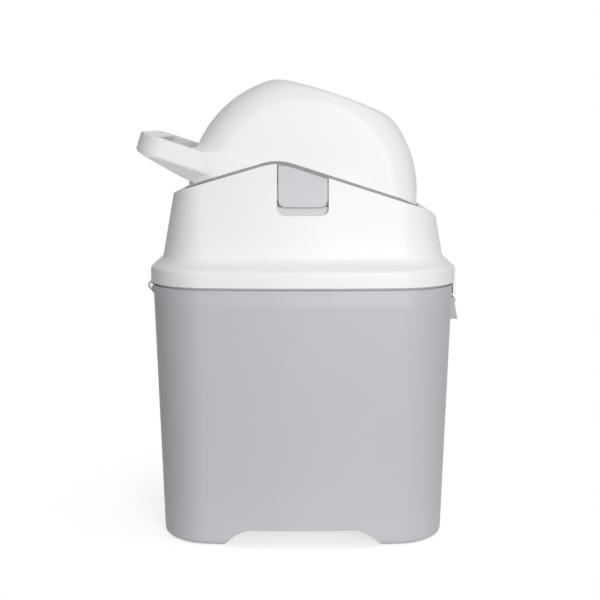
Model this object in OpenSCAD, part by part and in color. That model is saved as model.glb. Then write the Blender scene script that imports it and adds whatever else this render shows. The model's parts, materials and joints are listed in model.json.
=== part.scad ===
// Nappy bin with a turn-over drum.
// A tapered bucket carries a hinged lid. The lid holds a drum on two pivot pins, and a tube runs through the
// drum. A loose piston slides in the tube, so that when the handle is swung over, the nappy that lies on the
// piston is tipped into the bucket and the piston follows it to close the way behind it.
// X runs to the right, Y to the back, Z up. The origin is on the floor, on the bucket's upright middle line.

/* [Bucket] */
// Width of the bucket just under the lid
bucket_w = 276; // [250:1:300]
// Depth of the bucket just under the lid, at the middle of its bulging front and back
bucket_d = 240; // [225:1:262]
// Height of the shoulder under the lid
shoulder_h = 239; // [225:1:255]
// How much narrower each side is at the floor than at the shoulder
bucket_taper = 8; // [4:0.5:12]
// Corner radius of the bucket, seen from above
corner_r = 48; // [40:1:56]
// How far the front and the back bulge out past the corners
bulge = 10; // [4:1:14]
// Wall of the bucket
bucket_wall = 2.5; // [2:0.1:3]
// Height of the neck that stands up inside the lid
neck_h = 11; // [9:0.5:13]
// Height of the bucket's floor above the ground
floor_h = 20; // [18:0.5:24]
// Radius of the bucket's lower edge
foot_round = 6; // [3:0.5:8]
// Width of the arch between the feet, at the ground
arch_w = 146; // [120:1:160]
// Height of the arch between the feet
arch_h = 15.4; // [10:0.1:15.6]
// Length of each curved end of the arch
arch_end = 27; // [20:1:40]
// Diameter of the rubber pads under the feet
pad_d = 14; // [10:0.5:16]

/* [Lid] */
// Height of the upright band round the lid
band_h = 14.5; // [12:0.5:18]
// Wall of the lid
lid_wall = 2.5; // [2:0.1:3]
// How far the shoulder above the band steps in
lid_step = 12; // [9:0.5:13]
// Height of that shoulder
lid_step_h = 12; // [10:0.5:14]
// Lean of the lid's front and back, in degrees
front_lean = 9.5; // [8:0.1:10]
// Lean of the lid's sides, in degrees
side_lean = 10.3; // [6:0.1:11]
// Sideways place of the ridge of the lid's top edge
ridge_x = -22; // [-28:1:-16]
// Height of the two slopes' meeting point above the drum's axis
ridge_rise = 28.8; // [27:0.1:32]
// Fall of the left slope, in degrees
fall_left = 16.3; // [14:0.1:18]
// Fall of the right slope, in degrees
fall_right = 17.8; // [15:0.1:19]
// Half length of the rounding on the ridge
ridge_round = 12; // [6:1:18]

/* [Drum] */
// Radius of the drum
drum_r = 104.2; // [102:0.1:107]
// Distance from each flat face of the drum to the outside of the lid, at the height of the axis
face_gap = 9.8; // [9.7:0.1:11]
// Radius of the drum's rounded rims
drum_rim = 28; // [20:1:32]
// Height of the drum's axis above the bucket's shoulder
axis_up = 83.1; // [79:0.1:86]
// Wall of the drum
drum_wall = 2.5; // [2:0.1:3]
// Flat land of a mouth outside the tube
mouth_edge = 1.7; // [1.2:0.1:4]
// How far the middle of a mouth stands above its edges
mouth_crown = 2.6; // [1:0.1:4]
// Rise of the handle above level at rest, in degrees
handle_rise = 18.3; // [16:0.1:22]

/* [Handle] */
// Distance from the axis to the end of the handle
handle_reach = 155.8; // [150:0.1:162]
// Thickness of the handle
handle_t = 16.9; // [12:0.1:18]
// How far the handle's middle lies above the line through the axis
handle_up = -2.5; // [-5:0.1:1]
// Width of an arm, from front to back
arm_w = 16.5; // [12:0.5:20]
// Width of the bar that the hand holds
grip_w = 16; // [12:0.5:20]
// Outer corner radius of the handle, seen from above
grip_corner = 24; // [16:1:28]
// Depth of the gusset under an arm where it meets the drum
gusset_h = 11.5; // [6:0.5:14]

/* [Tube and piston] */
// Bore of the tube
tube_bore = 98; // [90:0.5:100]
// Wall of the tube
tube_wall = 2.5; // [2:0.1:3]
// Length of the tube
tube_l = 164; // [156:1:166]
// How far a mouth ring's lip reaches in over the bore
lip_in = 2; // [1.5:0.1:3]
// Length of the piston
piston_l = 70; // [60:1:80]
// Wall of the piston
piston_wall = 2; // [1.6:0.1:2.5]
// Width of a piston seal
seal_w = 5; // [4:0.5:7]
// Depth of a piston seal
seal_t = 1.6; // [1.2:0.1:2]

/* [Pivot and lock] */
// Diameter of a pivot pin
pin_d = 12; // [10:0.5:13]
// Wall of a pivot bush
bush_wall = 2; // [1.5:0.1:2.2]
// Length of a pivot bush
bush_l = 13; // [10:0.5:14]
// Radius of the round pocket in the rear face of the drum
pocket_r = 22; // [20.5:0.5:23]
// Depth of that pocket
pocket_depth = 4; // [3:0.1:5]
// Radius of the notched lock flange, and of the boss in that pocket
ring_r = 15.5; // [14.5:0.5:15.5]
// Width of the lock's tongue
tongue_w = 8; // [6:0.5:9]
// Width of the lock button
button_w = 45.4; // [38:0.2:52]
// Height of the button's lower edge below the drum's axis
button_drop = 13; // [11:0.5:14]
// Travel of the lock button
button_travel = 7; // [6:0.5:7.5]
// Corner radius of the button
button_corner = 6.5; // [4:0.5:8]

/* [Hinge and latch] */
// Diameter of the hinge pin
hinge_pin_d = 3.2; // [2.5:0.1:3.6]
// Diameter of a hinge knuckle
knuckle_d = 7.2; // [6.4:0.1:8]
// Length of the hinge along the bin's side
hinge_l = 100; // [80:1:110]
// Width of the latch along the bin's side
latch_w = 90; // [60:1:96]
// Length of the latch lever, from top to bottom
latch_l = 21; // [18:0.5:26]
// Diameter of the latch pin
latch_pin_d = 3; // [2.5:0.1:3.2]

/* [Fit] */
// Running clearance of a shaft in its bore, on the radius
run = 0.05; // [0.03:0.01:0.08]
// Gap between pieces that sit in one another
seat = 0.3; // [0.2:0.05:0.4]
// Gap between the drum and what surrounds it
drum_gap = 1; // [0.8:0.1:1.4]

/* [Hidden] */

$fn = 64;
eps = 0.01;
far = 200;
arc_steps = 8;
edge_steps = 8;

// Radial clearance of a pin that is pressed in, and of a screw in its own thread
press = 0.01;
thread = 0.05;
screw_r = 1.6;
screw_head_r = 3.2;
screw_head_t = 1.6;
edge_cut = 0.8;

white = [0.95, 0.95, 0.94];
grey = [0.76, 0.76, 0.77];
dark = [0.25, 0.25, 0.26];
steel = [0.7, 0.71, 0.73];
plate = [0.8, 0.8, 0.81];
felt = [0.45, 0.45, 0.46];

// Bucket
shoulder_in = 4;
pad_t = 1.5;
pad_sink = 1;
pad_from_edge = 42;
foot_rim = 5;
skirt_t = bucket_wall + 1;
floor_fillet = 8;
neck_top = shoulder_h + neck_h;
base_hw = bucket_w / 2 - bucket_taper;
base_hd = bucket_d / 2 - bucket_taper;

// Lid
band_out = 2;
lid_lift = 0.5;
band_bottom = shoulder_h + lid_lift;
band_top = band_bottom + band_h;
axis_h = shoulder_h + axis_up;
step_top = band_top + lid_step_h;
band_hw = bucket_w / 2 + band_out;
band_hd = bucket_d / 2 + band_out;
gasket_t = 2.5;
liner_t = 2.5;
liner_bottom = neck_top + gasket_t;
liner_top = liner_bottom + liner_t;
loft_top = axis_h + ridge_rise + 6;

// Drum: its mouths face along the tube, its handle points along the handle direction
half_w = lid_hd(axis_h, 0) - face_gap;
drum_w = 2 * half_w;
turn = 180 - 2 * handle_rise;
tube_r = tube_bore / 2 + tube_wall;
mouth_half = tube_r + mouth_edge;
mouth_reach = sqrt(drum_r * drum_r - mouth_half * mouth_half);
crown_r = (mouth_half * mouth_half + mouth_crown * mouth_crown) / (2 * mouth_crown);
hub_r = 25;
hub_depth = 14.5;
post_gap = 3;
post_t = 2;
post_r = 9;
pin_head_t = 0.8;
pin_past = 0.4;
pin_head_r = 7;
notch_floor = pin_d / 2 + bush_wall + 1.5;
flange_t = post_gap - seat;

// Hinge and latch
hinge_x = -(bucket_w / 2 + 3.5);
hinge_z = shoulder_h - 5.5;

// ---- Outlines and lofts ----

// A flat outline in X and Z, extruded along Y on both sides of the middle
module along_y(l) {
    translate([0, l / 2, 0]) rotate([90, 0, 0]) linear_extrude(l) children();
}

// A round rod along Y at a place in X and Z
module rod_y(x, z, l, r) {
    translate([x, l / 2, z]) rotate([90, 0, 0]) cylinder(h = l, r = r);
}

// A point of a rounded plan, moved out by the bulge of the front and back
function bulged(p, hw, hd) = [p[0], p[1] + bulge * (1 - pow(p[0] / hw, 2)) * p[1] / hd];

// The plan of bucket and lid: a rounded rectangle with straight sides and a bulging front and back
function plan(hw, hd, r) = let (yd = hd - bulge) [for (c = [0:3])
    let (cx = (c == 0 || c == 3 ? 1 : -1) * (hw - r), cy = (c < 2 ? 1 : -1) * (yd - r))
    each concat(
        [for (i = [0:arc_steps]) let (a = 90 * (c + i / arc_steps))
            bulged([cx + r * cos(a), cy + r * sin(a)], hw, yd)],
        [for (i = [1:edge_steps - 1]) if (c % 2 == 0)
            bulged([cx * (1 - 2 * i / edge_steps), cy + r * sign(cy)], hw, yd)])];

// The same plan moved in by a distance, at a height
function ring(hw, hd, r, inset, z) = [for (p = plan(hw - inset, hd - inset, r - inset)) [p[0], p[1], z]];

// A closed solid through a list of rings with equal numbers of points
module loft(rings) {
    n = len(rings[0]);
    last = len(rings) - 1;
    polyhedron(points = [for (r = rings) each r], faces = concat(
        [[for (i = [0:n - 1]) i]],
        [for (k = [0:last - 1], i = [0:n - 1]) let (j = (i + 1) % n)
            [k * n + i, (k + 1) * n + i, (k + 1) * n + j]],
        [for (k = [0:last - 1], i = [0:n - 1]) let (j = (i + 1) % n)
            [k * n + i, (k + 1) * n + j, k * n + j]],
        [[for (i = [n - 1:-1:0]) last * n + i]]));
}

// ---- Bucket ----

function bucket_ring(z, inset) = let (t = bucket_taper * (1 - min(z, shoulder_h) / shoulder_h))
    ring(bucket_w / 2, bucket_d / 2, corner_r, t + inset, z);

// A rise that starts steep and ends level
function ease(t) = 1 - (1 - t) * (1 - t);

module arch_outline() {
    steps = 8;
    rise = [for (i = [0:steps]) [arch_w / 2 - arch_end * i / steps, arch_h * ease(i / steps)]];
    polygon(concat([[arch_w / 2, -1]], rise,
        [for (i = [steps:-1:0]) [-rise[i][0], rise[i][1]]], [[-arch_w / 2, -1]]));
}

module pad_places() {
    x = base_hw - foot_round - skirt_t - pad_d / 2;
    y = base_hd - bulge - pad_from_edge;
    for (sx = [-1, 1], sy = [-1, 1]) translate([sx * x, sy * y, 0]) children();
}

module bucket_shell() {
    low = pad_t - pad_sink;
    loft([
        bucket_ring(floor_h - bucket_wall, foot_round + skirt_t),
        bucket_ring(low, foot_round + skirt_t),
        bucket_ring(low, foot_round),
        bucket_ring(low + foot_round * 0.13, foot_round * 0.5),
        bucket_ring(low + foot_round * 0.5, foot_round * 0.13),
        bucket_ring(low + foot_round, 0),
        bucket_ring(shoulder_h - edge_cut, 0),
        bucket_ring(shoulder_h, edge_cut),
        bucket_ring(shoulder_h, shoulder_in),
        bucket_ring(neck_top, shoulder_in),
        bucket_ring(neck_top, shoulder_in + bucket_wall),
        bucket_ring(shoulder_h - 3, shoulder_in + bucket_wall),
        bucket_ring(shoulder_h - 8, bucket_wall),
        bucket_ring(floor_h + floor_fillet, bucket_wall),
        bucket_ring(floor_h + floor_fillet * 0.3, bucket_wall + floor_fillet * 0.3),
        bucket_ring(floor_h, bucket_wall + floor_fillet)]);
}

// A foot under the floor that carries each pad
module pad_feet() {
    pad_places() translate([0, 0, pad_t - pad_sink]) difference() {
        cylinder(h = floor_h - bucket_wall - pad_t + pad_sink + eps, d = pad_d + foot_rim);
        translate([0, 0, -eps]) cylinder(h = pad_sink + eps, d = pad_d);
    }
}

// Hinge knuckle with its web to the wall, along Y between two places
module knuckle(y0, y1, web) {
    translate([0, y1, 0]) rotate([90, 0, 0]) linear_extrude(y1 - y0) union() {
        translate([hinge_x, hinge_z]) circle(d = knuckle_d);
        polygon(web);
    }
}

bucket_web = [[hinge_x - knuckle_d / 2 + 0.3, hinge_z - 1], [-bucket_w / 2 + 1.2, hinge_z - 11],
    [-bucket_w / 2 + 1.2, hinge_z + 2], [hinge_x, hinge_z + 2]];
knuckle_l = 23;
knuckle_mid = hinge_l / 2 - knuckle_l;

// Ears that carry the latch pin
latch_out = bucket_w / 2 + 3.6;
latch_drop = 20.5;
latch_z = shoulder_h - latch_drop;
ear_t = 2.4;
ear_r = 2.6;
ear_in = 8;
module latch_ears() {
    for (y = [ear_in - latch_w / 2, latch_w / 2 - ear_in])
        translate([0, y + ear_t / 2, 0]) rotate([90, 0, 0]) linear_extrude(ear_t) union() {
            translate([latch_out, latch_z]) circle(ear_r);
            polygon([[latch_out, latch_z + ear_r], [bucket_w / 2 - 2, latch_z + 6],
                [bucket_w / 2 - 2.2, latch_z - 9], [latch_out, latch_z - ear_r]]);
        }
}

module bucket() {
    color(grey) difference() {
        union() {
            difference() {
                bucket_shell();
                along_y(2 * bucket_d) arch_outline();
            }
            pad_feet();
            knuckle(-hinge_l / 2, -knuckle_mid - seat, bucket_web);
            knuckle(knuckle_mid + seat, hinge_l / 2, bucket_web);
            latch_ears();
            spring_rails();
        }
        rod_y(hinge_x, hinge_z, 2 * hinge_l, hinge_pin_d / 2 + press);
        rod_y(latch_out, latch_z, 2 * latch_w, latch_pin_d / 2 + press);
    }
}

module foot_pads() {
    color(dark) pad_places() cylinder(h = pad_t - press, d = pad_d - 2 * seat);
}

// ---- Lid ----

// Half width and half depth of the lid's outside at a height, less a wall
function step_in(z) = lid_step * ease(max(0, min(1, (z - band_top) / lid_step_h)));
function lid_hw(z, t) = band_hw - t - step_in(z) - max(0, z - step_top) * tan(side_lean);
function lid_hd(z, t) = band_hd - t - step_in(z) - max(0, z - step_top) * tan(front_lean);
function lid_ring(z, t) = ring(lid_hw(z, t), lid_hd(z, t),
    corner_r + band_out - t - step_in(z) - max(0, z - step_top) * tan(side_lean), 0, z);

step_rings = 6;
step_heights = [for (i = [0:step_rings]) band_top + lid_step_h * i / step_rings];

module lid_outside() {
    loft(concat([lid_ring(band_bottom, edge_cut), lid_ring(band_bottom + edge_cut, 0)],
        [for (z = step_heights) lid_ring(z, 0)], [lid_ring(loft_top, 0)]));
}

module lid_inside() {
    loft(concat([lid_ring(band_bottom - 1, lid_wall)],
        [for (z = step_heights) lid_ring(z - 0.6, lid_wall)], [lid_ring(loft_top + 1, lid_wall)]));
}

// Height of the lid's top edge above the floor, a ridge with a fall to each side
function edge_z(x, drop) = let (d = x - ridge_x, k = d < 0 ? tan(fall_left) : tan(fall_right),
    out = abs(d) < ridge_round ? d * d / (2 * ridge_round) + ridge_round / 2 : abs(d))
    axis_h + ridge_rise - drop - k * out;

// Everything below the top edge, moved down by a drop
module under_edge(drop) {
    steps = 8;
    reach = bucket_w;
    rounding = [for (i = [-steps:steps]) ridge_x + ridge_round * i / steps];
    along_y(2 * bucket_d) polygon(concat(
        [[-reach, 0], [reach, 0], [reach, edge_z(reach, drop)]],
        [for (i = [2 * steps:-1:0]) [rounding[i], edge_z(rounding[i], drop)]],
        [[-reach, edge_z(-reach, drop)]]));
}

// Frame on the middle of the lid's front at the height of the axis: z up along the front, y inwards
module front_frame() {
    translate([0, -lid_hd(axis_h, 0), axis_h]) rotate([-front_lean, 0, 0]) children();
}

// Upright plate outline with round lower corners, extruded along y
module tongue_plate(w, bottom, top, r, y0, y1) {
    translate([0, y1, 0]) rotate([90, 0, 0]) linear_extrude(y1 - y0) union() {
        translate([-w / 2, bottom + r]) square([w, top - bottom - r]);
        translate([-w / 2 + r, bottom]) square([w - 2 * r, 2 * r]);
        for (s = [-1, 1]) translate([s * (w / 2 - r), bottom + r]) circle(r);
    }
}

boss_r = 4;
boss_h = 14;
boss_in = 5;
boss_x = 60;
boss_y = 40;
lid_screw_in = 9;
lid_screw_places = concat(
    [for (sx = [-1, 1], sy = [-1, 1]) [sx * (band_hw - lid_step - boss_in), sy * boss_y]],
    [for (sx = [-1, 1], sy = [-1, 1]) [sx * boss_x, sy * (band_hd - lid_step - lid_wall - boss_in)]]);

lid_web = [[hinge_x - knuckle_d / 2 + 0.3, hinge_z], [hinge_x + 0.5, hinge_z],
    [-bucket_w / 2 - 0.6, hinge_z + 4], [-bucket_w / 2 - 0.6, band_bottom + 8],
    [-band_hw - 0.1, band_bottom + 8], [hinge_x - knuckle_d / 2 + 0.3, band_bottom + 2]];

// Tab on the right of the lid, with an inner rib that the latch spring holds
tab_in = bucket_w / 2 + 3.2;
tab_out = tab_in + lid_wall;
tab_bottom = latch_z + 5;
rib_h = 2.6;
rib_w = 28;
module latch_tab() {
    along_y(latch_w) polygon([[tab_in, tab_bottom], [tab_out, tab_bottom], [tab_out, band_bottom + 8],
        [band_hw - 0.2, band_top - 2], [band_hw - lid_wall + 0.2, band_top - 2],
        [band_hw - lid_wall + 0.2, band_bottom], [tab_in, band_bottom - 2]]);
    translate([tab_in - 1.8, -rib_w / 2, tab_bottom]) cube([1.8 + eps, rib_w, rib_h]);
}

module lid_cover() {
    color(white) difference() {
        union() {
            difference() {
                intersection() { lid_outside(); under_edge(0); }
                intersection() { lid_inside(); under_edge(lid_wall); }
            }
            for (p = lid_screw_places) translate([p[0], p[1], liner_top]) cylinder(h = boss_h, r = boss_r);
            knuckle(-knuckle_mid + seat, knuckle_mid - seat, lid_web);
            latch_tab();
        }
        translate([0, 0, axis_h]) drum_solid(drum_gap);
        front_frame() tongue_plate(button_w + 2 * seat, -button_drop - button_travel - seat, ridge_rise + 10,
            button_corner + seat, -4, 9);
        for (p = lid_screw_places) translate([p[0], p[1], liner_top - eps])
            cylinder(h = boss_h - 3, r = screw_r + thread);
        rod_y(hinge_x, hinge_z, 2 * hinge_l, hinge_pin_d / 2 + run);
    }
}

// The liner closes the lid below, carries the seal round the drum and holds the two pivot pins on posts
open_x = sqrt(drum_r * drum_r - pow(axis_h - liner_top, 2)) + 2.5;
open_y = half_w + 1.5;
seal_top = liner_bottom - 2.5;
seal_h = 3;
seal_bottom = seal_top - seal_h;
seal_reach = 12;
ledge_t = 1.2;
ledge_in = 3;
curb_t = 2;
liner_in = lid_wall + 3.6;
liner_gap = 0.8;
post_y = half_w + post_gap;

// A rectangular frame round the drum between two distances from the opening's edge
module opening_frame(out, inn, z, h) {
    translate([0, 0, z]) linear_extrude(h) difference() {
        square(2 * [open_x + out, open_y + out], center = true);
        square(2 * [open_x - inn, open_y - inn], center = true);
    }
}

// A post that holds a pivot pin, with two ribs down to the liner
module post(side) {
    foot = 22;
    waist = 11.5;
    waist_up = 35;
    rib_x = 14;
    rib_t = 2;
    rib_out = post_y + post_t + 11;
    rib_up = 32;
    translate([0, side > 0 ? post_y + post_t : -post_y, 0]) rotate([90, 0, 0]) linear_extrude(post_t) union() {
        translate([0, axis_h]) circle(post_r);
        polygon([[-foot, liner_bottom], [foot, liner_bottom], [foot, liner_top], [waist, liner_top + waist_up],
            [post_r, axis_h], [-post_r, axis_h], [-waist, liner_top + waist_up], [-foot, liner_top]]);
    }
    for (sx = [-1, 1]) translate([sx * rib_x - rib_t / 2, 0, 0]) rotate([90, 0, 90]) linear_extrude(rib_t)
        polygon([[side * (post_y + 1), liner_bottom + 1], [side * rib_out, liner_bottom + 1],
            [side * rib_out, liner_top], [side * (post_y + 1), liner_top + rib_up]]);
}

// Stop tooth on the rear post, which runs in the drum's rear pocket between the ends of an arc
stop_w = 7;
stop_out = 20.4;
stop_in = ring_r + 1.2;
stop_angle = atan(stop_w / 2 / stop_in) + 0.8;

module lid_liner() {
    color(white) difference() {
        union() {
            translate([0, 0, liner_bottom]) linear_extrude(liner_t) difference() {
                polygon(plan(band_hw - liner_in, band_hd - liner_in, corner_r + band_out - liner_in));
                square(2 * [open_x, open_y], center = true);
            }
            opening_frame(curb_t, 0, seal_bottom - ledge_t, liner_bottom - seal_bottom + ledge_t + eps);
            opening_frame(curb_t, ledge_in, seal_bottom - ledge_t, ledge_t);
            for (side = [-1, 1]) post(side);
            translate([-stop_w / 2, half_w - pocket_depth + 0.6, axis_h - stop_out])
                cube([stop_w, post_gap + pocket_depth, stop_out - stop_in]);
        }
        translate([0, 0, axis_h]) drum_solid(liner_gap);
        rod_y(0, axis_h, 2 * drum_w, pin_d / 2 + press);
        for (p = lid_screw_places) translate([p[0], p[1], liner_bottom - 1])
            cylinder(h = liner_t + 2, r = screw_r + seat);
    }
}

module lid_gasket() {
    over = 1.5;
    width = 5;
    deeper = (bucket_d - bucket_w) / 2;
    out = bucket_w / 2 - shoulder_in + over;
    r = corner_r - shoulder_in + over;
    color(felt) translate([0, 0, neck_top]) linear_extrude(gasket_t) difference() {
        polygon(plan(out, out + deeper, r));
        polygon(plan(out - width, out - width + deeper, r - width));
    }
}

module drum_seal() {
    color(felt) difference() {
        opening_frame(-seat / 2, seal_reach, seal_bottom, seal_h);
        translate([0, 0, axis_h]) drum_solid(seat);
    }
}

// A pan-head screw pointing up
module screw(l) {
    translate([0, 0, -screw_head_t]) cylinder(h = screw_head_t, r = screw_head_r);
    cylinder(h = l, r = screw_r);
}

module lid_screws() {
    color(steel) for (p = lid_screw_places) translate([p[0], p[1], liner_bottom]) screw(liner_t + lid_screw_in);
}

module hinge_pin() {
    past = 0.1;
    head_t = 1;
    color(steel) {
        rod_y(hinge_x, hinge_z, hinge_l + 2 * past + eps, hinge_pin_d / 2);
        for (s = [-1, 1]) translate([0, s * (hinge_l / 2 + past + head_t / 2), 0])
            rod_y(hinge_x, hinge_z, head_t, hinge_pin_d / 2 + 1);
    }
}

// ---- Drum ----

// Frame of the drum: z along the tube, -x along the handle
module drum_frame() {
    translate([0, 0, axis_h]) rotate([0, handle_rise, 0]) children();
}

// The drum's round body about the Y axis, grown by a gap
module drum_solid(g) {
    rotate([90, 0, 0]) rotate_extrude($fn = 128) union() {
        translate([0, -half_w - g]) square([drum_r - drum_rim, 2 * (half_w + g)]);
        translate([0, -half_w + drum_rim]) square([drum_r + g, drum_w - 2 * drum_rim]);
        for (s = [-1, 1]) intersection() {
            translate([drum_r - drum_rim, s * (half_w - drum_rim)]) circle(drum_rim + g);
            translate([0, -half_w - g]) square([drum_r + g, drum_w + 2 * g]);
        }
    }
}

// The lens between the two crowned mouths, grown by a gap
module crowned(g) {
    intersection_for(s = [-1, 1])
        rod_y(0, -s * (crown_r - mouth_reach - mouth_crown), 2 * drum_w, crown_r + g, $fn = 360);
}

// A rectangle between two places in X, with its two corners on the left rounded
module round_ended(x0, x1, hw, r) {
    translate([x0, -hw + r]) square([x1 - x0, 2 * (hw - r)]);
    translate([x0 + r, -hw]) square([x1 - x0 - r, 2 * hw]);
    for (s = [-1, 1]) translate([x0 + r, s * (hw - r)]) circle(r);
}

// Plan of the handle: two arms and the bar that joins them
module handle_plan() {
    inner = 8;
    root = drum_r - drum_rim - 4;
    difference() {
        round_ended(-handle_reach, -root, half_w, grip_corner);
        round_ended(-handle_reach + grip_w, 0, half_w - arm_w, inner);
    }
}

// The handle with the gusset under each arm: deepest at the drum, and cut away towards the face
module handle_bail() {
    lo = handle_up - handle_t / 2;
    deep = lo - gusset_h;
    face_cut = 10;
    translate([0, 0, lo]) linear_extrude(handle_t) handle_plan();
    intersection() {
        translate([0, 0, deep - 4]) linear_extrude(gusset_h + 6) handle_plan();
        along_y(2 * drum_w) polygon([[-drum_r + drum_rim, lo + 1], [-handle_reach, lo + 1],
            [-handle_reach, lo - 0.4], [-drum_r, deep], [-drum_r + drum_rim, deep - 3]]);
        translate([-handle_reach, 0, 0]) rotate([90, 0, 90]) linear_extrude(handle_reach) union() {
            for (s = [-1, 1]) polygon([[s * half_w, lo + 1], [s * half_w, lo],
                [s * (half_w - face_cut), deep], [s * (half_w - face_cut), deep - 3],
                [s * (half_w - arm_w), deep - 3], [s * (half_w - arm_w), lo + 1]]);
        }
    }
}

screw_x = 78;
screw_z = 38;
screw_places = [for (sx = [-1, 1], sz = [-1, 1]) [sx * screw_x, sz * screw_z]];
drum_screw_seat = 14;
drum_boss_r = 5.2;
collar_h = 24;
collar_t = 2.2;

module drum_body() {
    difference() {
        union() {
            intersection() { drum_solid(0); crowned(0); }
            handle_bail();
        }
        difference() {
            intersection() { drum_solid(-drum_wall); crowned(-drum_wall); }
            for (s = [-1, 1]) translate([0, 0, s * mouth_reach - collar_h / 2])
                cylinder(h = collar_h, r = tube_r + seat + collar_t, $fn = 128);
            for (s = [-1, 1]) rotate([s * 90, 0, 0]) translate([0, 0, half_w - hub_depth])
                cylinder(h = hub_depth, r = hub_r);
            for (p = screw_places) rod_y(p[0], p[1], drum_w, drum_boss_r);
        }
        translate([0, 0, -drum_r]) cylinder(h = 2 * drum_r, r = tube_r + seat, $fn = 128);
        rod_y(0, 0, 2 * drum_w, pin_d / 2 + bush_wall);
    }
}

// Polygon sector between two angles
module sector(a0, a1) {
    steps = 16;
    polygon(concat([[0, 0]], [for (i = [0:steps]) let (a = a0 + (a1 - a0) * i / steps)
        2 * pocket_r * [cos(a), sin(a)]]));
}

module drum_front_shell() {
    color(white) drum_frame() difference() {
        intersection() {
            drum_body();
            translate([-far, -far, -far]) cube([2 * far, far, 2 * far]);
        }
        for (p = screw_places) translate([p[0], -drum_screw_seat, p[1]]) rotate([-90, 0, 0])
            cylinder(h = 2 * drum_screw_seat, r = screw_r + thread);
    }
}

module drum_rear_shell() {
    color(white) drum_frame() union() {
        difference() {
            intersection() {
                drum_body();
                translate([-far, 0, -far]) cube([2 * far, far, 2 * far]);
            }
            for (p = screw_places) translate([p[0], 0, p[1]]) rotate([-90, 0, 0]) {
                translate([0, 0, -1]) cylinder(h = drum_w, r = screw_r + seat);
                translate([0, 0, drum_screw_seat]) cylinder(h = drum_w, r = screw_head_r + seat);
            }
            rotate([-90, 0, 0]) translate([0, 0, half_w - pocket_depth]) difference() {
                cylinder(h = pocket_depth + 1, r = pocket_r);
                cylinder(h = pocket_depth, r = ring_r);
            }
        }
        rotate([0, -handle_rise, 0]) intersection() {
            rotate([-90, 0, 0]) translate([0, 0, half_w - pocket_depth - eps]) difference() {
                cylinder(h = pocket_depth - 0.5, r = stop_out);
                cylinder(h = pocket_depth, r = ring_r - 0.5);
            }
            translate([0, drum_w, 0]) rotate([90, 0, 0]) linear_extrude(drum_w)
                sector(turn - 90 + stop_angle, 270 - stop_angle);
        }
    }
}

module drum_screws() {
    color(steel) drum_frame() for (p = screw_places)
        translate([p[0], drum_screw_seat, p[1]]) rotate([90, 0, 0]) screw(2 * drum_screw_seat - 4);
}

module drum_tube() {
    color(white) drum_frame() difference() {
        cylinder(h = tube_l, r = tube_r, center = true, $fn = 128);
        cylinder(h = tube_l + 1, d = tube_bore, center = true, $fn = 128);
    }
}

module mouth_ring(side) {
    lip = tube_bore / 2 - lip_in;
    color(white) drum_frame() intersection() {
        rotate([side > 0 ? 0 : 180, 0, 0]) rotate_extrude($fn = 128)
            polygon([[lip, tube_l / 2], [tube_r, tube_l / 2], [tube_r, drum_r], [lip + 4, drum_r],
                [lip + 1.2, mouth_reach], [lip, mouth_reach - 3]]);
        crowned(-0.4);
    }
}

module mouth_ring_upper() { mouth_ring(1); }
module mouth_ring_lower() { mouth_ring(-1); }

// ---- Piston ----

piston_r = tube_bore / 2 - seat;
piston_core = piston_r - seal_t - piston_wall;
piston_mid = (piston_l - tube_l) / 2;
piston_half = piston_l / 2;
cup_end = 2.5;
groove_in = 4;

// Half outline of a piston cup, from its open end at 0 up to its closed end
cup_outline = [[piston_core, 0], [piston_r, 0], [piston_r, piston_half - groove_in - seal_w],
    [piston_r - seal_t, piston_half - groove_in - seal_w], [piston_r - seal_t, piston_half - groove_in],
    [piston_r, piston_half - groove_in], [piston_r, piston_half - 0.6], [piston_r - 0.6, piston_half],
    [0, piston_half], [0, piston_half - cup_end], [piston_core, piston_half - cup_end]];

module piston_frame(side) {
    drum_frame() translate([0, 0, piston_mid]) rotate([side > 0 ? 0 : 180, 0, 0]) children();
}

module piston_upper_cup() {
    color(white) piston_frame(1) rotate_extrude($fn = 128) polygon(cup_outline);
}

module piston_lower_cup() {
    spigot = [[piston_core - 0.1, -6], [piston_core - 0.1, 1], [piston_core + 0.5, 1], [piston_core + 0.5, 5],
        [piston_core - 2, 3], [piston_core - 2, -6]];
    color(white) piston_frame(-1) rotate_extrude($fn = 128) union() {
        polygon(cup_outline);
        polygon(spigot);
    }
}

module piston_seal(side) {
    color(felt) piston_frame(side) translate([0, 0, piston_half - groove_in - seal_w + 0.1]) difference() {
        cylinder(h = seal_w - 0.2, r = tube_bore / 2 - run, $fn = 128);
        translate([0, 0, -1]) cylinder(h = seal_w + 2, r = piston_r - seal_t + 0.05, $fn = 128);
    }
}

module piston_seal_upper() { piston_seal(1); }
module piston_seal_lower() { piston_seal(-1); }

// ---- Pivots and lock ----

module pivot_pin(side) {
    color(steel) translate([0, 0, axis_h]) rotate([side * 90, 0, 0]) {
        translate([0, 0, half_w - bush_l - pin_past])
            cylinder(h = bush_l + pin_past + post_gap + post_t, d = pin_d);
        translate([0, 0, post_y + post_t]) cylinder(h = pin_head_t, r = pin_head_r);
    }
}

// A bush that is pressed into the drum's hub
module pivot_bush(side) {
    translate([0, -side * (half_w - bush_l / 2), 0]) difference() {
        rod_y(0, axis_h, bush_l, pin_d / 2 + bush_wall - press);
        rod_y(0, axis_h, bush_l + 2, pin_d / 2 + run);
    }
}

// The flange of the front bush, with a notch for the lock's tongue at each end of the turn
module lock_flange() {
    notch_w = tongue_w + 0.8;
    translate([0, -half_w - flange_t / 2, axis_h]) difference() {
        rod_y(0, 0, flange_t, ring_r);
        rod_y(0, 0, flange_t + 1, pin_d / 2 + run);
        for (a = [0, -turn]) rotate([0, a, 0])
            translate([-notch_w / 2, -flange_t, notch_floor]) cube([notch_w, 2 * flange_t, ring_r]);
    }
}

module pivot_pin_front() { pivot_pin(1); }
module pivot_pin_rear() { pivot_pin(-1); }

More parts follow.
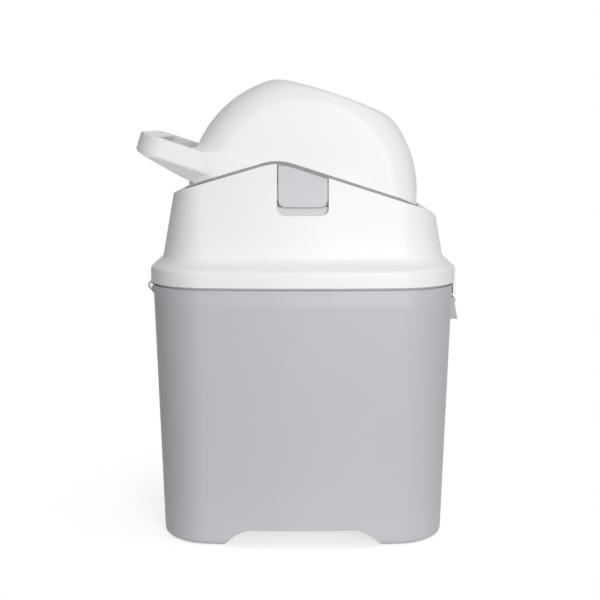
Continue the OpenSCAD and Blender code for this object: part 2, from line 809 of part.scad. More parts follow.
module pivot_bush_front() {
    color(dark) union() {
        pivot_bush(1);
        lock_flange();
    }
}

module pivot_bush_rear() { color(dark) pivot_bush(-1); }

// The button: a plate in the lid's front, a stem behind each end, and wings that run in the guide
plate_in = 0.35;
stem_w = 6;
wing_w = 3.4;
wing_t = 1.1;
wing_y = lid_wall + 0.7;
wing_lo = button_corner - button_drop;
wing_hi = 8;
guide_wall = 5;
guide_lip = 1;
guide_front = wing_y + 0.2;
guide_top = wing_hi + 1;
tongue_t = 2.4;
tongue_low = notch_floor + 0.5 + button_travel * cos(front_lean);
tongue_front = lid_hd(axis_h + tongue_low, 0) - lid_wall + 0.4;

module lock_button() {
    color(plate) union() {
        intersection() {
            front_frame()
                tongue_plate(button_w, -button_drop, ridge_rise + 10, button_corner, plate_in, lid_wall + 0.1);
            under_edge(0.6);
        }
        front_frame() for (s = [-1, 1]) {
            translate([(s * (button_w - stem_w) - stem_w) / 2, lid_wall - 0.5, wing_lo])
                cube([stem_w, wing_y - lid_wall + 0.6, wing_hi - wing_lo]);
            translate([(s * (button_w - stem_w + wing_w) - stem_w - wing_w) / 2, wing_y, wing_lo])
                cube([stem_w + wing_w, wing_t, wing_hi - wing_lo]);
        }
        translate([-tongue_w / 2, -tongue_front, axis_h + tongue_low])
            cube([tongue_w, tongue_front - half_w - seat, tongue_t]);
    }
}

// Guide behind the lid's front that the button's wings slide in
module lock_guide() {
    inner = button_w / 2 + wing_w + seat;
    bottom = -button_drop - button_travel - 3;
    back = wing_y + wing_t + 0.2;
    color(grey) front_frame() union() {
        for (s = [-1, 1]) {
            translate([s * (inner + guide_wall / 2) - guide_wall / 2, guide_front, bottom])
                cube([guide_wall, back - guide_front + guide_lip, guide_top - bottom]);
            translate([s * (inner + guide_wall / 2 - 1.2) - guide_wall / 2 - 1.2, back, bottom])
                cube([guide_wall + 2.4, guide_lip, guide_top - bottom]);
        }
        translate([-inner - guide_wall, guide_front, bottom])
            cube([2 * (inner + guide_wall), back - guide_front + guide_lip, 3]);
        translate([-inner - guide_wall, back, bottom])
            cube([2 * (inner + guide_wall), guide_lip, 1 - button_drop - bottom]);
    }
}

// ---- Latch ----

leaf_t = 0.6;
leaf_in = bucket_w / 2 - 0.1;
leaf_w = 30;
leaf_bottom = latch_z - 14.5;

module spring_rails() {
    difference() {
        translate([bucket_w / 2 - 2, -leaf_w / 2 - 3, leaf_bottom - 1]) cube([4.2, leaf_w + 6, 6]);
        translate([leaf_in - 0.05, -leaf_w / 2 - 0.1, leaf_bottom]) cube([leaf_t + 0.1, leaf_w + 0.2, 6]);
    }
}

module latch_spring() {
    top = tab_bottom + rib_h;
    color(steel) along_y(leaf_w - 2) polygon([[leaf_in, leaf_bottom], [leaf_in + leaf_t, leaf_bottom],
        [leaf_in + leaf_t, top + 0.3], [leaf_in + leaf_t + 1.9, top + 0.3],
        [leaf_in + leaf_t + 1.9, top + 0.9], [leaf_in + leaf_t, top + 4], [leaf_in, top + 4]]);
}

lever_top = latch_z + 3.1;
lever_bottom = lever_top - latch_l;
lever_flare = 4.4;
module latch_lever() {
    cheek = 2;
    skin = 2;
    color(grey) difference() {
        union() {
            along_y(latch_w) polygon([[latch_out + 1 - skin / 2, lever_top], [latch_out + 1, lever_top],
                [latch_out + lever_flare, lever_bottom], [latch_out + lever_flare - skin, lever_bottom]]);
            for (s = [-1, 1]) translate([0, s * (latch_w - cheek) / 2, 0]) along_y(cheek)
                polygon([[latch_out - 2.4, lever_top], [latch_out + 1, lever_top],
                    [latch_out + lever_flare, lever_bottom], [bucket_w / 2 + 0.2, lever_bottom],
                    [bucket_w / 2 + 0.2, latch_z - 3]]);
            rod_y(latch_out, latch_z, latch_w, latch_pin_d / 2 + 1.2);
            translate([leaf_in + leaf_t + 0.3, -8, latch_z - 1]) cube([3, 16, 3.4]);
        }
        for (s = [-1, 1]) translate([latch_out - 5, s * (latch_w / 2 - ear_in) - ear_t / 2 - 0.8, latch_z - 9])
            cube([8.5, ear_t + 1.6, 17]);
        rod_y(latch_out, latch_z, 2 * latch_w, latch_pin_d / 2 + run);
    }
}

module latch_pin() {
    color(steel) rod_y(latch_out, latch_z, latch_w - 1, latch_pin_d / 2);
}

bucket();
foot_pads();
lid_cover();
lid_liner();
lid_gasket();
drum_seal();
lid_screws();
hinge_pin();
lock_button();
lock_guide();
pivot_pin_front();
pivot_pin_rear();
pivot_bush_front();
pivot_bush_rear();
drum_front_shell();
drum_rear_shell();
drum_screws();
drum_tube();
mouth_ring_upper();
mouth_ring_lower();
piston_upper_cup();
piston_lower_cup();
piston_seal_upper();
piston_seal_lower();
latch_lever();
latch_pin();
latch_spring();
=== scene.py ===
# %% [markdown]
# # A nappy bin with a turn-over drum
# The bin stands on four rubber feet. A tapered bucket carries a hinged lid, and the lid holds a drum with a
# handle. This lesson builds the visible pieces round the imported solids, piece by piece, in metres. The
# solids stay as the frame: each new piece says which solid it stands for and which body it moves with.

import json
import math

import bmesh
import bpy
import numpy as np
from mathutils import Matrix, Vector

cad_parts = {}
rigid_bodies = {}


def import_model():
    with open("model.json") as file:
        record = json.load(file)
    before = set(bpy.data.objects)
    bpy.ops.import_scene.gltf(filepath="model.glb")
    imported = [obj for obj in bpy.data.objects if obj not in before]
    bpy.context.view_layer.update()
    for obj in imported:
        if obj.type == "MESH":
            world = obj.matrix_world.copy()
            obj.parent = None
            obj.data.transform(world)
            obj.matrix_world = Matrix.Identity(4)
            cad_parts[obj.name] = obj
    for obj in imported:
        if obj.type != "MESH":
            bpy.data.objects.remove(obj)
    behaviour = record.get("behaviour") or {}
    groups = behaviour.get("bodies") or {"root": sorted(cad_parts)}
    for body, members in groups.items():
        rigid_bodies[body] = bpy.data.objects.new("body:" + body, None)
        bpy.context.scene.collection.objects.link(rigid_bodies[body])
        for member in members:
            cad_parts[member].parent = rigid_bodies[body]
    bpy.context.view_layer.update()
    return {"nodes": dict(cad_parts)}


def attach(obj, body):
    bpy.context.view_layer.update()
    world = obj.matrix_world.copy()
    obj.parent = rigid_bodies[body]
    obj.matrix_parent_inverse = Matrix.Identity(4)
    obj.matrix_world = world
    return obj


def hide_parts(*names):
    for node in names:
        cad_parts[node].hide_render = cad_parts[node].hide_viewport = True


for leftover in list(bpy.data.objects):
    bpy.data.objects.remove(leftover)
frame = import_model()

# %% [markdown]
# ## Sizes
# All sizes are in millimetres, as a maker would note them, and turn to metres when a mesh is made. They are
# the sizes of the solids, so that every visible piece sits where its solid is. Three differ a little: the
# collar's edge is 1.3 mm lower, to leave room for the rubber lip, the button's plate is 0.5 mm narrower on
# each side, and its hidden tongue is thinner.

# %% Sizes in millimetres
MM = 0.001
BUCKET_W, BUCKET_D, SHOULDER_H = 276.0, 240.0, 239.0
TAPER, CORNER_R, BULGE, WALL = 8.0, 48.0, 10.0, 2.5
NECK_TOP, SHOULDER_IN, FLOOR_H, FOOT_R = 250.0, 4.0, 20.0, 6.0
ARCH_W, ARCH_H, ARCH_END = 146.0, 15.4, 27.0
BAND_LOW, BAND_TOP, LID_WALL = 239.5, 254.0, 2.5
STEP, STEP_H, FRONT_LEAN, SIDE_LEAN = 12.0, 12.0, 9.5, 10.3
RIDGE_X, RIDGE_Z, FALL_LEFT, FALL_RIGHT, RIDGE_ROUND, LIP_H = -22.0, 349.6, 16.3, 17.8, 14.0, 2.5
AXIS_H, DRUM_R, HALF_W, RIM = 322.1, 104.2, 90.81, 28.0
REACH, CROWN, RISE = 89.6, 2.6, 18.3
TIP, ARM_T, ARM_UP, ARM_W, GRIP_W, GRIP_R = 155.8, 16.9, -2.5, 16.5, 16.0, 24.0
GUSSET_H, GUSSET_CUT = 11.5, 10.0
BORE_R, TUBE_R, TUBE_L, LIP_R = 49.0, 51.5, 164.0, 47.0
SLOT_HW, SLOT_R, SLOT_DROP = 23.0, 6.8, 20.3
BUTTON_HW, BUTTON_R, BUTTON_DROP = 22.7, 6.5, 13.0
HINGE_X, HINGE_Z, HINGE_L = -141.5, 233.5, 100.0
LATCH_X, LATCH_Z, LATCH_W, LATCH_L = 141.6, 218.5, 90.0, 21.0
mouth_half = math.sqrt(DRUM_R ** 2 - REACH ** 2)
CROWN_R = (mouth_half ** 2 + CROWN ** 2) / (2 * CROWN)
print("mouth half width", round(mouth_half, 1), "crown radius", round(CROWN_R, 1))

# %% [markdown]
# ## Helpers for meshes
# Moulded plastic has no sharp edge: the tool is cut with a small radius everywhere. So each mesh is made
# from clean quads, and a Bevel modifier with hardened normals rounds the edges. The modifiers are then
# settled into a plain mesh, so that what moves with a body is one finished piece.

# %% Mesh helpers
def piece_from(name, points, faces, material, smooth_angle=38):
    """An object from points in millimetres."""
    mesh = bpy.data.meshes.new(name)
    mesh.from_pydata((np.asarray(points, float) * MM).tolist(), [], [list(map(int, f)) for f in faces])
    mesh.update()
    mesh.shade_smooth()
    mesh.set_sharp_from_angle(angle=math.radians(smooth_angle))
    mesh.materials.append(material)
    made = bpy.data.objects.new(name, mesh)
    bpy.context.scene.collection.objects.link(made)
    return made


def soften(piece, width, segments=3, angle=38):
    """Rounds the edges that are sharper than an angle."""
    bevel = piece.modifiers.new("rounded edges", "BEVEL")
    bevel.width = width * MM
    bevel.segments = segments
    bevel.limit_method = "ANGLE"
    bevel.angle_limit = math.radians(angle)
    bevel.harden_normals = True
    return piece


def settle(piece):
    """Turns a piece with modifiers into a plain mesh."""
    graph = bpy.context.evaluated_depsgraph_get()
    done = bpy.data.meshes.new_from_object(piece.evaluated_get(graph), preserve_all_data_layers=True,
                                           depsgraph=graph)
    piece.modifiers.clear()
    piece.data = done
    return piece


def fuse(name, pieces):
    """Joins settled pieces of one moulding into one object."""
    bpy.ops.object.select_all(action="DESELECT")
    for one in pieces:
        one.select_set(True)
    bpy.context.view_layer.objects.active = pieces[0]
    bpy.ops.object.join()
    pieces[0].name = name
    pieces[0].data.name = name
    return pieces[0]


def hand_over(piece, body, slot, *nodes):
    """Says which body a piece moves with and which solids it stands for, and hides them; slot is not used.
    """
    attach(piece, body)
    if nodes:
        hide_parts(*nodes)
    triangles = sum(len(f.vertices) - 2 for f in piece.data.polygons)
    print(f"{piece.name}: {triangles} triangles on {body}")


def close_loop(rows, columns):
    """Quads between rows of points that each run once round."""
    return [(k * columns + i, k * columns + (i + 1) % columns, (k + 1) * columns + (i + 1) % columns,
             (k + 1) * columns + i)
            for k in range(rows - 1) for i in range(columns)]


def rounded(outline, radius, steps=4):
    """A closed outline with its corners turned into arcs; radius is one number or one for each corner."""
    result = []
    count = len(outline)
    radii = [radius] * count if np.isscalar(radius) else radius
    for k in range(count):
        here = np.array(outline[k], float)
        before = np.array(outline[k - 1], float) - here
        after = np.array(outline[(k + 1) % count], float) - here
        a, b = np.linalg.norm(before), np.linalg.norm(after)
        before, after = before / a, after / b
        half = math.acos(max(-1, min(1, float(before @ after)))) / 2
        if radii[k] <= 0 or half > math.radians(88):
            result.append(here)
            continue
        back = min(radii[k] / math.tan(half), 0.48 * a, 0.48 * b)
        r = back * math.tan(half)
        middle = here + (before + after) / np.linalg.norm(before + after) * (r / math.sin(half))
        start = here + before * back - middle
        end = here + after * back - middle
        turn = math.atan2(start[0] * end[1] - start[1] * end[0], float(start @ end))
        for s in range(steps + 1):
            c, n = math.cos(turn * s / steps), math.sin(turn * s / steps)
            result.append(middle + np.array([c * start[0] - n * start[1], n * start[0] + c * start[1]]))
    return np.array(result)


def prism(name, outline, y0, y1, material, edge=0.5):
    """An outline in X and Z, extruded along Y from y0 to y1, with rounded edges."""
    outline = np.asarray(outline, float)
    if np.sum(outline[:, 0] * np.roll(outline[:, 1], -1) - np.roll(outline[:, 0], -1) * outline[:, 1]) < 0:
        outline = outline[::-1]
    n = len(outline)
    points = [(x, y0, z) for x, z in outline] + [(x, y1, z) for x, z in outline]
    sides = [(i, i + n, (i + 1) % n + n, (i + 1) % n)[::-1] for i in range(n)]
    made = piece_from(name, points,
                      [list(range(n))] + [list(range(2 * n - 1, n - 1, -1))] + [s[::-1] for s in sides],
                      material)
    upright(made)
    return settle(soften(made, edge)) if edge else made


def upright(piece):
    """Turns all faces of a closed mesh outwards."""
    work = bmesh.new()
    work.from_mesh(piece.data)
    bmesh.ops.remove_doubles(work, verts=work.verts, dist=1e-7)
    bmesh.ops.recalc_face_normals(work, faces=work.faces)
    work.to_mesh(piece.data)
    work.free()
    piece.data.update()


def lathe(name, profile, material, place=None, steps=160, edge=0.0):
    """A closed profile in radius and height, turned about Z, then put in place."""
    profile = np.asarray(profile, float)
    n = len(profile)
    turns = np.arange(steps) * 2 * math.pi / steps
    points = np.array([(r * math.cos(a), r * math.sin(a), z) for a in turns for r, z in profile])
    faces = [(k * n + i, k * n + (i + 1) % n, (k + 1) % steps * n + (i + 1) % n, (k + 1) % steps * n + i)
             for k in range(steps) for i in range(n)]
    if place is not None:
        points = points @ np.array(place.to_3x3()).T + np.array(place.translation)
    made = piece_from(name, points, faces, material, 50)
    upright(made)
    made.data.shade_smooth()
    made.data.set_sharp_from_angle(angle=math.radians(50))
    return settle(soften(made, edge, 2)) if edge else made


tilt = Matrix.Translation((0, 0, AXIS_H)) @ Matrix.Rotation(math.radians(RISE), 4, "Y")
print("helpers ready")

# %% [markdown]
# ## Finishes
# Every visible part of such a bin is injection moulded. The bucket is polypropylene with a fine spark-
# eroded grain, which gives a soft, wide sheen. The lid and drum are ABS, whiter and a little glossier,
# because that tool is polished more. Seals are soft rubber, pins and screws are zinc-plated steel. Each
# finish is built from noise in Object coordinates: a fine grain in the bump, a slow change of roughness
# where hands polish the surface, and a trace of colour change from the flow of the plastic in the mould.

# %% Colours and nodes
def linear(hex_colour):
    """sRGB hex to the linear numbers that a shader takes."""
    channels = [int(hex_colour[i:i + 2], 16) / 255 for i in (1, 3, 5)]
    return tuple(c / 12.92 if c <= 0.04045 else ((c + 0.055) / 1.055) ** 2.4 for c in channels) + (1.0,)


def add_node(tree, kind, inputs=None, **settings):
    """Adds a node with its settings, and fills or links its inputs."""
    made = tree.nodes.new(kind)
    for key, value in settings.items():
        setattr(made, key, value)
    for key, value in (inputs or {}).items():
        if isinstance(value, bpy.types.NodeSocket):
            tree.links.new(value, made.inputs[key])
        else:
            made.inputs[key].default_value = value
    return made


def new_material(name):
    """An empty node material with its shader and output joined."""
    material = bpy.data.materials.new(name)
    material.use_nodes = True
    tree = material.node_tree
    tree.nodes.clear()
    shader = add_node(tree, "ShaderNodeBsdfPrincipled")
    add_node(tree, "ShaderNodeOutputMaterial", {"Surface": shader.outputs["BSDF"]})
    return material, tree, shader


def moulded_plastic(name, colour, roughness, grain_mm=0.8, grain=0.012, flow=0.03, ior=1.5, shine=0.5):
    """Injection-moulded plastic: flow marks in the colour, uneven polish, and a fine eroded grain."""
    material, tree, shader = new_material(name)
    place = add_node(tree, "ShaderNodeTexCoord").outputs["Object"]
    base = linear(colour)
    # Flow of the melt: soft clouds about 60 mm wide, stretched along the height
    stretch = add_node(tree, "ShaderNodeMapping", {"Vector": place, "Scale": (1.0, 1.0, 0.5)})
    cloud = add_node(tree, "ShaderNodeTexNoise",
                     {"Vector": stretch.outputs["Vector"], "Scale": 1 / 0.06, "Detail": 3.0})
    tint = add_node(tree, "ShaderNodeMix", {"Factor": cloud.outputs["Fac"]}, data_type="RGBA")
    tint.inputs["A"].default_value = tuple(c * (1 - flow) for c in base[:3]) + (1.0,)
    tint.inputs["B"].default_value = tuple(min(1.0, c * (1 + flow)) for c in base[:3]) + (1.0,)
    tree.links.new(tint.outputs["Result"], shader.inputs["Base Color"])
    # Handling polishes the surface unevenly, in patches about 25 mm wide
    patch = add_node(tree, "ShaderNodeTexNoise", {"Vector": place, "Scale": 1 / 0.025, "Detail": 4.0})
    polish = add_node(tree, "ShaderNodeMapRange", {"Value": patch.outputs["Fac"], "To Min": roughness - 0.05,
                                                   "To Max": roughness + 0.05})
    tree.links.new(polish.outputs["Result"], shader.inputs["Roughness"])
    # The eroded grain of the tool, drawn coarser than the real 0.1 mm so that it shows
    speckle = add_node(tree, "ShaderNodeTexNoise",
                       {"Vector": place, "Scale": 1000 / grain_mm, "Detail": 2.0})
    bump = add_node(tree, "ShaderNodeBump",
                    {"Height": speckle.outputs["Fac"], "Strength": 0.25, "Distance": grain * MM})
    tree.links.new(bump.outputs["Normal"], shader.inputs["Normal"])
    shader.inputs["IOR"].default_value = ior
    shader.inputs["Specular IOR Level"].default_value = shine
    return material


def soft_rubber(name, colour):
    """Moulded rubber: dark, dull, with a fine powdery surface."""
    material, tree, shader = new_material(name)
    place = add_node(tree, "ShaderNodeTexCoord").outputs["Object"]
    dust = add_node(tree, "ShaderNodeTexNoise", {"Vector": place, "Scale": 1 / 0.004, "Detail": 5.0})
    base = linear(colour)
    tint = add_node(tree, "ShaderNodeMix", {"Factor": dust.outputs["Fac"]}, data_type="RGBA")
    tint.inputs["A"].default_value = tuple(c * 0.8 for c in base[:3]) + (1.0,)
    tint.inputs["B"].default_value = tuple(min(1.0, c * 1.25) for c in base[:3]) + (1.0,)
    tree.links.new(tint.outputs["Result"], shader.inputs["Base Color"])
    bump = add_node(tree, "ShaderNodeBump",
                    {"Height": dust.outputs["Fac"], "Strength": 0.3, "Distance": 0.05 * MM})
    tree.links.new(bump.outputs["Normal"], shader.inputs["Normal"])
    shader.inputs["Roughness"].default_value = 0.75
    return material


def plated_steel(name, colour):
    """Zinc-plated steel: a bright metal with fine turning marks round and along it."""
    material, tree, shader = new_material(name)
    place = add_node(tree, "ShaderNodeTexCoord").outputs["Object"]
    stretch = add_node(tree, "ShaderNodeMapping", {"Vector": place, "Scale": (1.0, 12.0, 1.0)})
    marks = add_node(tree, "ShaderNodeTexNoise",
                     {"Vector": stretch.outputs["Vector"], "Scale": 1 / 0.002, "Detail": 3.0})
    polish = add_node(tree, "ShaderNodeMapRange",
                      {"Value": marks.outputs["Fac"], "To Min": 0.25, "To Max": 0.42})
    tree.links.new(polish.outputs["Result"], shader.inputs["Roughness"])
    bump = add_node(tree, "ShaderNodeBump",
                    {"Height": marks.outputs["Fac"], "Strength": 0.2, "Distance": 0.02 * MM})
    tree.links.new(bump.outputs["Normal"], shader.inputs["Normal"])
    shader.inputs["Base Color"].default_value = linear(colour)
    shader.inputs["Metallic"].default_value = 1.0
    return material


# Polypropylene with an eroded grain: a soft, wide sheen
grey_polypropylene = moulded_plastic("grey_polypropylene", "#C2C2C7", 0.48, grain=0.02)
inner_polypropylene = moulded_plastic("inner_polypropylene", "#EDEDEC", 0.5, grain=0.02)
# A darker copy of the bucket's grey for the latch lever: painted shade, as the lever is the bucket's own
# plastic
lever_painted_shade_polypropylene = moulded_plastic("lever_painted_shade_polypropylene", "#ACACB1", 0.48, grain=0.02)
# A darker copy of the inner grey for the lock guide: painted shade of the slot behind the button
guide_painted_shade_polypropylene = moulded_plastic("guide_painted_shade_polypropylene", "#D2D2D1", 0.5, grain=0.02)
# ABS from a polished tool: whiter, smoother and a little glossier
white_abs = moulded_plastic("white_abs", "#F6F6F6", 0.38, grain=0.008, flow=0.012, shine=0.3)
button_abs = moulded_plastic("button_abs", "#C9C8CD", 0.4, flow=0.015)
# Acetal for the bushes: dark, smooth and slightly waxy
black_acetal = moulded_plastic("black_acetal", "#3A3A3D", 0.35)
# Moulded rubber: dull and powdery, darker where it stands on the floor
foot_rubber = soft_rubber("foot_rubber", "#4A4A4C")
wiper_rubber = soft_rubber("wiper_rubber", "#7C7C7F")
# Grey rubber for the lip round the drum; its grey is also painted shade, the dark seam between collar and
# drum
lip_rubber_and_painted_seam_shade = soft_rubber("lip_rubber_and_painted_seam_shade", "#969698")
# Zinc-plated steel: bright, with fine turning marks
zinc_steel = plated_steel("zinc_steel", "#BFC1C6")
print("finishes:", [m.name for m in bpy.data.materials if m.use_nodes and m.users == 0])

# %% [markdown]
# ## Plan of the bucket and the lid
# Seen from above, bucket and lid are a rounded rectangle whose front and back bulge out a little. All rings
# of the loft use the same columns, so that the quads run straight up the walls. A column knows its place on
# the outline and the direction that points inwards from it: to taper a wall, or to give it a thickness,
# each point moves along that direction.

# %% Columns of the plan
def plan_columns(hw, hd, r, across, side_steps=16, corner_steps=18):
    """Outline points and their inward directions, once round from the left end of the front."""
    lim, yd = hw - r, hd - BULGE
    up = yd - r
    front = [x for x in across if abs(x) < lim - 0.01]
    side = np.linspace(-up, up, side_steps + 1)[1:-1]
    spots, inward = [], []

    def add(x, y, in_x, in_y):
        spots.append((x, y))
        inward.append((in_x, in_y))

    def add_corner(sx, sy, start):
        for a in np.linspace(start, start + 90, corner_steps + 1):
            c, s = math.cos(math.radians(a)), math.sin(math.radians(a))
            add(sx * lim + r * c, sy * up + r * s, -c, -s)

    for x in front:
        add(x, -yd, 0, 1)
    add_corner(1, -1, -90)
    for y in side:
        add(hw, y, -1, 0)
    add_corner(1, 1, 0)
    for x in front[::-1]:
        add(x, yd, 0, -1)
    add_corner(-1, 1, 90)
    for y in side[::-1]:
        add(-hw, y, 1, 0)
    add_corner(-1, -1, 180)
    spots, inward = np.array(spots), np.array(inward, float)
    spots[:, 1] += BULGE * (1 - (spots[:, 0] / hw) ** 2) * spots[:, 1] / yd
    return spots, inward


# %% [markdown]
# ## Bucket
# One moulding: a tapered wall on a rounded lower edge, an arch between the feet at the front and the back,
# a neck that stands up inside the lid, and a floor. It is a loft: one closed skin that starts under the
# floor, goes down the inside of the skirt, round the lower edge, up the outside, over the neck and down to
# the floor. Where the arch is, the rows of the lower edge simply start higher.

# %% Bucket skin
def arch_height(x):
    """Height of the lower edge at a place across the front."""
    t = np.clip((ARCH_W / 2 - np.abs(x)) / ARCH_END, 0, 1)
    return ARCH_H * (1 - (1 - t) ** 2)


bucket_across = np.concatenate([np.linspace(-90, -76, 7)[:-1], np.linspace(-76, -42, 26)[:-1],
                                np.linspace(-42, 42, 30)[:-1], np.linspace(42, 76, 26)[:-1],
                                np.linspace(76, 90, 7)])
spots, inward = plan_columns(BUCKET_W / 2, BUCKET_D / 2, CORNER_R, bucket_across)
columns = len(spots)
on_face = np.abs(inward[:, 1]) > 0.999
edge_low = np.maximum(0.5, np.where(on_face, arch_height(spots[:, 0]), 0.0))


def bucket_row(inset, height):
    """A row of points at an inset and a height, each one number or one for each column."""
    height = np.broadcast_to(np.asarray(height, float), (columns,))
    inset = np.broadcast_to(np.asarray(inset, float), (columns,))
    taper = TAPER * (1 - np.minimum(height, SHOULDER_H) / SHOULDER_H)
    flat = spots + inward * (taper + inset)[:, None]
    return np.column_stack([flat, height])


def bucket_outside():
    rows = []
    round_top = np.maximum(0.5 + FOOT_R, edge_low + 2)
    for t in np.linspace(0, 1, 9):
        height = edge_low + (round_top - edge_low) * (1 - math.cos(t * math.pi / 2))
        depth = np.clip((0.5 + FOOT_R - height) / FOOT_R, 0, 1)
        rows.append(bucket_row(FOOT_R * (1 - np.sqrt(1 - depth ** 2)), height))
    for t in np.linspace(0, 1, 14)[1:]:
        rows.append(bucket_row(0, round_top + (SHOULDER_H - 2.4 - round_top) * t))
    return rows


skirt = FOOT_R + WALL + 1
rows = [bucket_row(skirt + 1.0, FLOOR_H - WALL), bucket_row(skirt, FLOOR_H - WALL - 1),
        bucket_row(skirt, edge_low)]
rows += bucket_outside()
for inset, height in [(0.25, SHOULDER_H - 2.0), (0.9, SHOULDER_H - 1.75), (2.3, SHOULDER_H - 1.6),
                      (2.7, SHOULDER_H - 1.3),
                      (2.7, SHOULDER_H), (SHOULDER_IN, SHOULDER_H), (SHOULDER_IN, NECK_TOP - 0.8),
                      (SHOULDER_IN + 0.25, NECK_TOP - 0.25), (SHOULDER_IN + 0.8, NECK_TOP),
                      (SHOULDER_IN + WALL - 0.8, NECK_TOP), (SHOULDER_IN + WALL - 0.25, NECK_TOP - 0.25),
                      (SHOULDER_IN + WALL, NECK_TOP - 0.8), (SHOULDER_IN + WALL, SHOULDER_H - 3),
                      (WALL + 2, SHOULDER_H - 6), (WALL, SHOULDER_H - 9), (WALL, 150), (WALL, FLOOR_H + 8)]:
    rows.append(bucket_row(inset, height))
for a in np.linspace(0, 90, 6)[1:]:
    c, s = math.cos(math.radians(a)), math.sin(math.radians(a))
    rows.append(bucket_row(WALL + 8 * (1 - c), FLOOR_H + 8 * (1 - s)))
points = np.concatenate(rows)
faces = close_loop(len(rows), columns)
faces.append(list(range(columns))[::-1])
faces.append([(len(rows) - 1) * columns + i for i in range(columns)])
bucket_skin = piece_from("bucket_skin", points, faces, grey_polypropylene)
upright(bucket_skin)
bucket_skin = settle(soften(bucket_skin, 0.9, 3, 50))
print("bucket rows", len(rows), "columns", columns)

# %% [markdown]
# ## Hinge knuckles, latch ears and spring pocket
# These are small ribs and eyes that stand out from the bucket's sides. On the real bucket they come out of
# the same tool, so here they are extruded outlines with rounded edges, joined to the skin as one piece.

# %% Small mouldings on the bucket
def disc(x, z, r, steps=32):
    """A round outline about a pin."""
    angles = np.linspace(0, 2 * math.pi, steps, endpoint=False)
    return [(x + r * math.cos(a), z + r * math.sin(a)) for a in angles]


def knuckle(name, y0, y1, web, material):
    """A hinge knuckle: a round barrel and the web that carries it."""
    barrel = prism(name + "_barrel", disc(HINGE_X, HINGE_Z, 3.6), y0, y1, material, 0.4)
    arm = prism(name + "_web", web, y0 + 0.05, y1 - 0.05, material, 0.4)
    return [barrel, arm]


knuckle_mid = HINGE_L / 2 - 23
bucket_web = [(HINGE_X - 3.3, HINGE_Z - 1), (-BUCKET_W / 2 + 1.2, HINGE_Z - 11),
              (-BUCKET_W / 2 + 1.2, HINGE_Z + 2),
              (HINGE_X, HINGE_Z + 2)]
bucket_parts = [bucket_skin]
bucket_parts += knuckle("knuckle_front", -HINGE_L / 2, -knuckle_mid - 0.3, bucket_web, grey_polypropylene)
bucket_parts += knuckle("knuckle_rear", knuckle_mid + 0.3, HINGE_L / 2, bucket_web, grey_polypropylene)
half_bucket = BUCKET_W / 2
for y in (-LATCH_W / 2 + 8, LATCH_W / 2 - 8):
    ear = [(LATCH_X, LATCH_Z + 2.6), (half_bucket - 2, LATCH_Z + 6), (half_bucket - 2.2, LATCH_Z - 9),
           (LATCH_X, LATCH_Z - 2.6), (LATCH_X + 2.6, LATCH_Z)]
    bucket_parts.append(prism("latch_ear", rounded(ear, [2.4, 0, 0, 2.4, 1.5]), y - 1.2, y + 1.2,
                              grey_polypropylene, 0.3))
for y in (-16.5, 16.5):
    rail = [(half_bucket - 2, LATCH_Z - 15.5), (half_bucket + 2.2, LATCH_Z - 15.5),
            (half_bucket + 2.2, LATCH_Z - 9.5),
            (half_bucket - 2, LATCH_Z - 9.5)]
    bucket_parts.append(prism("spring_rail", rail, y - 1.4, y + 1.4, grey_polypropylene, 0.4))
keeper = [(half_bucket + 0.6, LATCH_Z - 15.5), (half_bucket + 2.2, LATCH_Z - 15.5),
          (half_bucket + 2.2, LATCH_Z - 9.5),
          (half_bucket + 0.6, LATCH_Z - 9.5)]
bucket_parts.append(prism("spring_keeper", keeper, -16, 16, grey_polypropylene, 0.4))
foot_x = half_bucket - TAPER - FOOT_R - WALL - 1 - 7
foot_y = BUCKET_D / 2 - TAPER - BULGE - 42
for sx in (-1, 1):
    for sy in (-1, 1):
        place = Matrix.Translation((sx * foot_x, sy * foot_y, 0))
        bucket_parts.append(lathe("pad_socket",
                                  [(0, 1.5), (6.9, 1.5), (7.0, 0.6), (9.3, 0.6), (9.5, 0.8), (9.5, 17.6),
                                   (0, 17.6)],
                                  grey_polypropylene, place, 48))
bucket_piece = fuse("bucket_body", bucket_parts)
hand_over(bucket_piece, "bucket", "bucket_plastic", "bucket")

# %% [markdown]
# ## Lid cover
# The lid is one thin moulding: an upright band, a hollow shoulder that steps in, and a collar that leans in
# and ends in two slopes that meet at a ridge. Its roof reaches in to the round drum. Only the outer skin is
# modelled, as rows of quads that follow these edges; Solidify then gives it its wall and Bevel its radii.
# The slot for the lock button is left open by stopping the columns under it at the slot's outline.

# %% Lid skin
lean_front, lean_side = math.tan(math.radians(FRONT_LEAN)), math.tan(math.radians(SIDE_LEAN))
cos_lean = math.cos(math.radians(FRONT_LEAN))
CENTRE_X = BUCKET_W / 2 - CORNER_R
COLLAR_LOW = BAND_TOP + STEP_H
DROP_FROM, DROP_SOFT = 112.5, 18    # the collar's edge rounds off beyond this distance from the middle


def edge_z(x):
    """Height of the collar's top edge: a rounded ridge, a fall to each side, and soft ends."""
    away = np.asarray(x, float) - RIDGE_X
    fall = np.where(away < 0, math.tan(math.radians(FALL_LEFT)), math.tan(math.radians(FALL_RIGHT)))
    soft = np.where(np.abs(away) < RIDGE_ROUND, away ** 2 / (2 * RIDGE_ROUND) + RIDGE_ROUND / 2,
                    np.abs(away))
    return RIDGE_Z - fall * soft - np.maximum(0, np.abs(np.asarray(x, float)) - DROP_FROM) ** 2 / DROP_SOFT


def lid_inset(z):
    """How far the lid has stepped and leaned in at a height: at the front, and at the sides."""
    # The mean over a few millimetres rounds the band's upper corner, as the tool does
    t = np.clip((z + np.linspace(-1.8, 1.8, 13) - BAND_TOP) / STEP_H, 0, 1)
    step = float(np.mean(STEP * (1 - (1 - t) ** 2)))
    above = np.maximum(0, z - BAND_TOP - STEP_H)
    return step + above * lean_front, step + above * lean_side


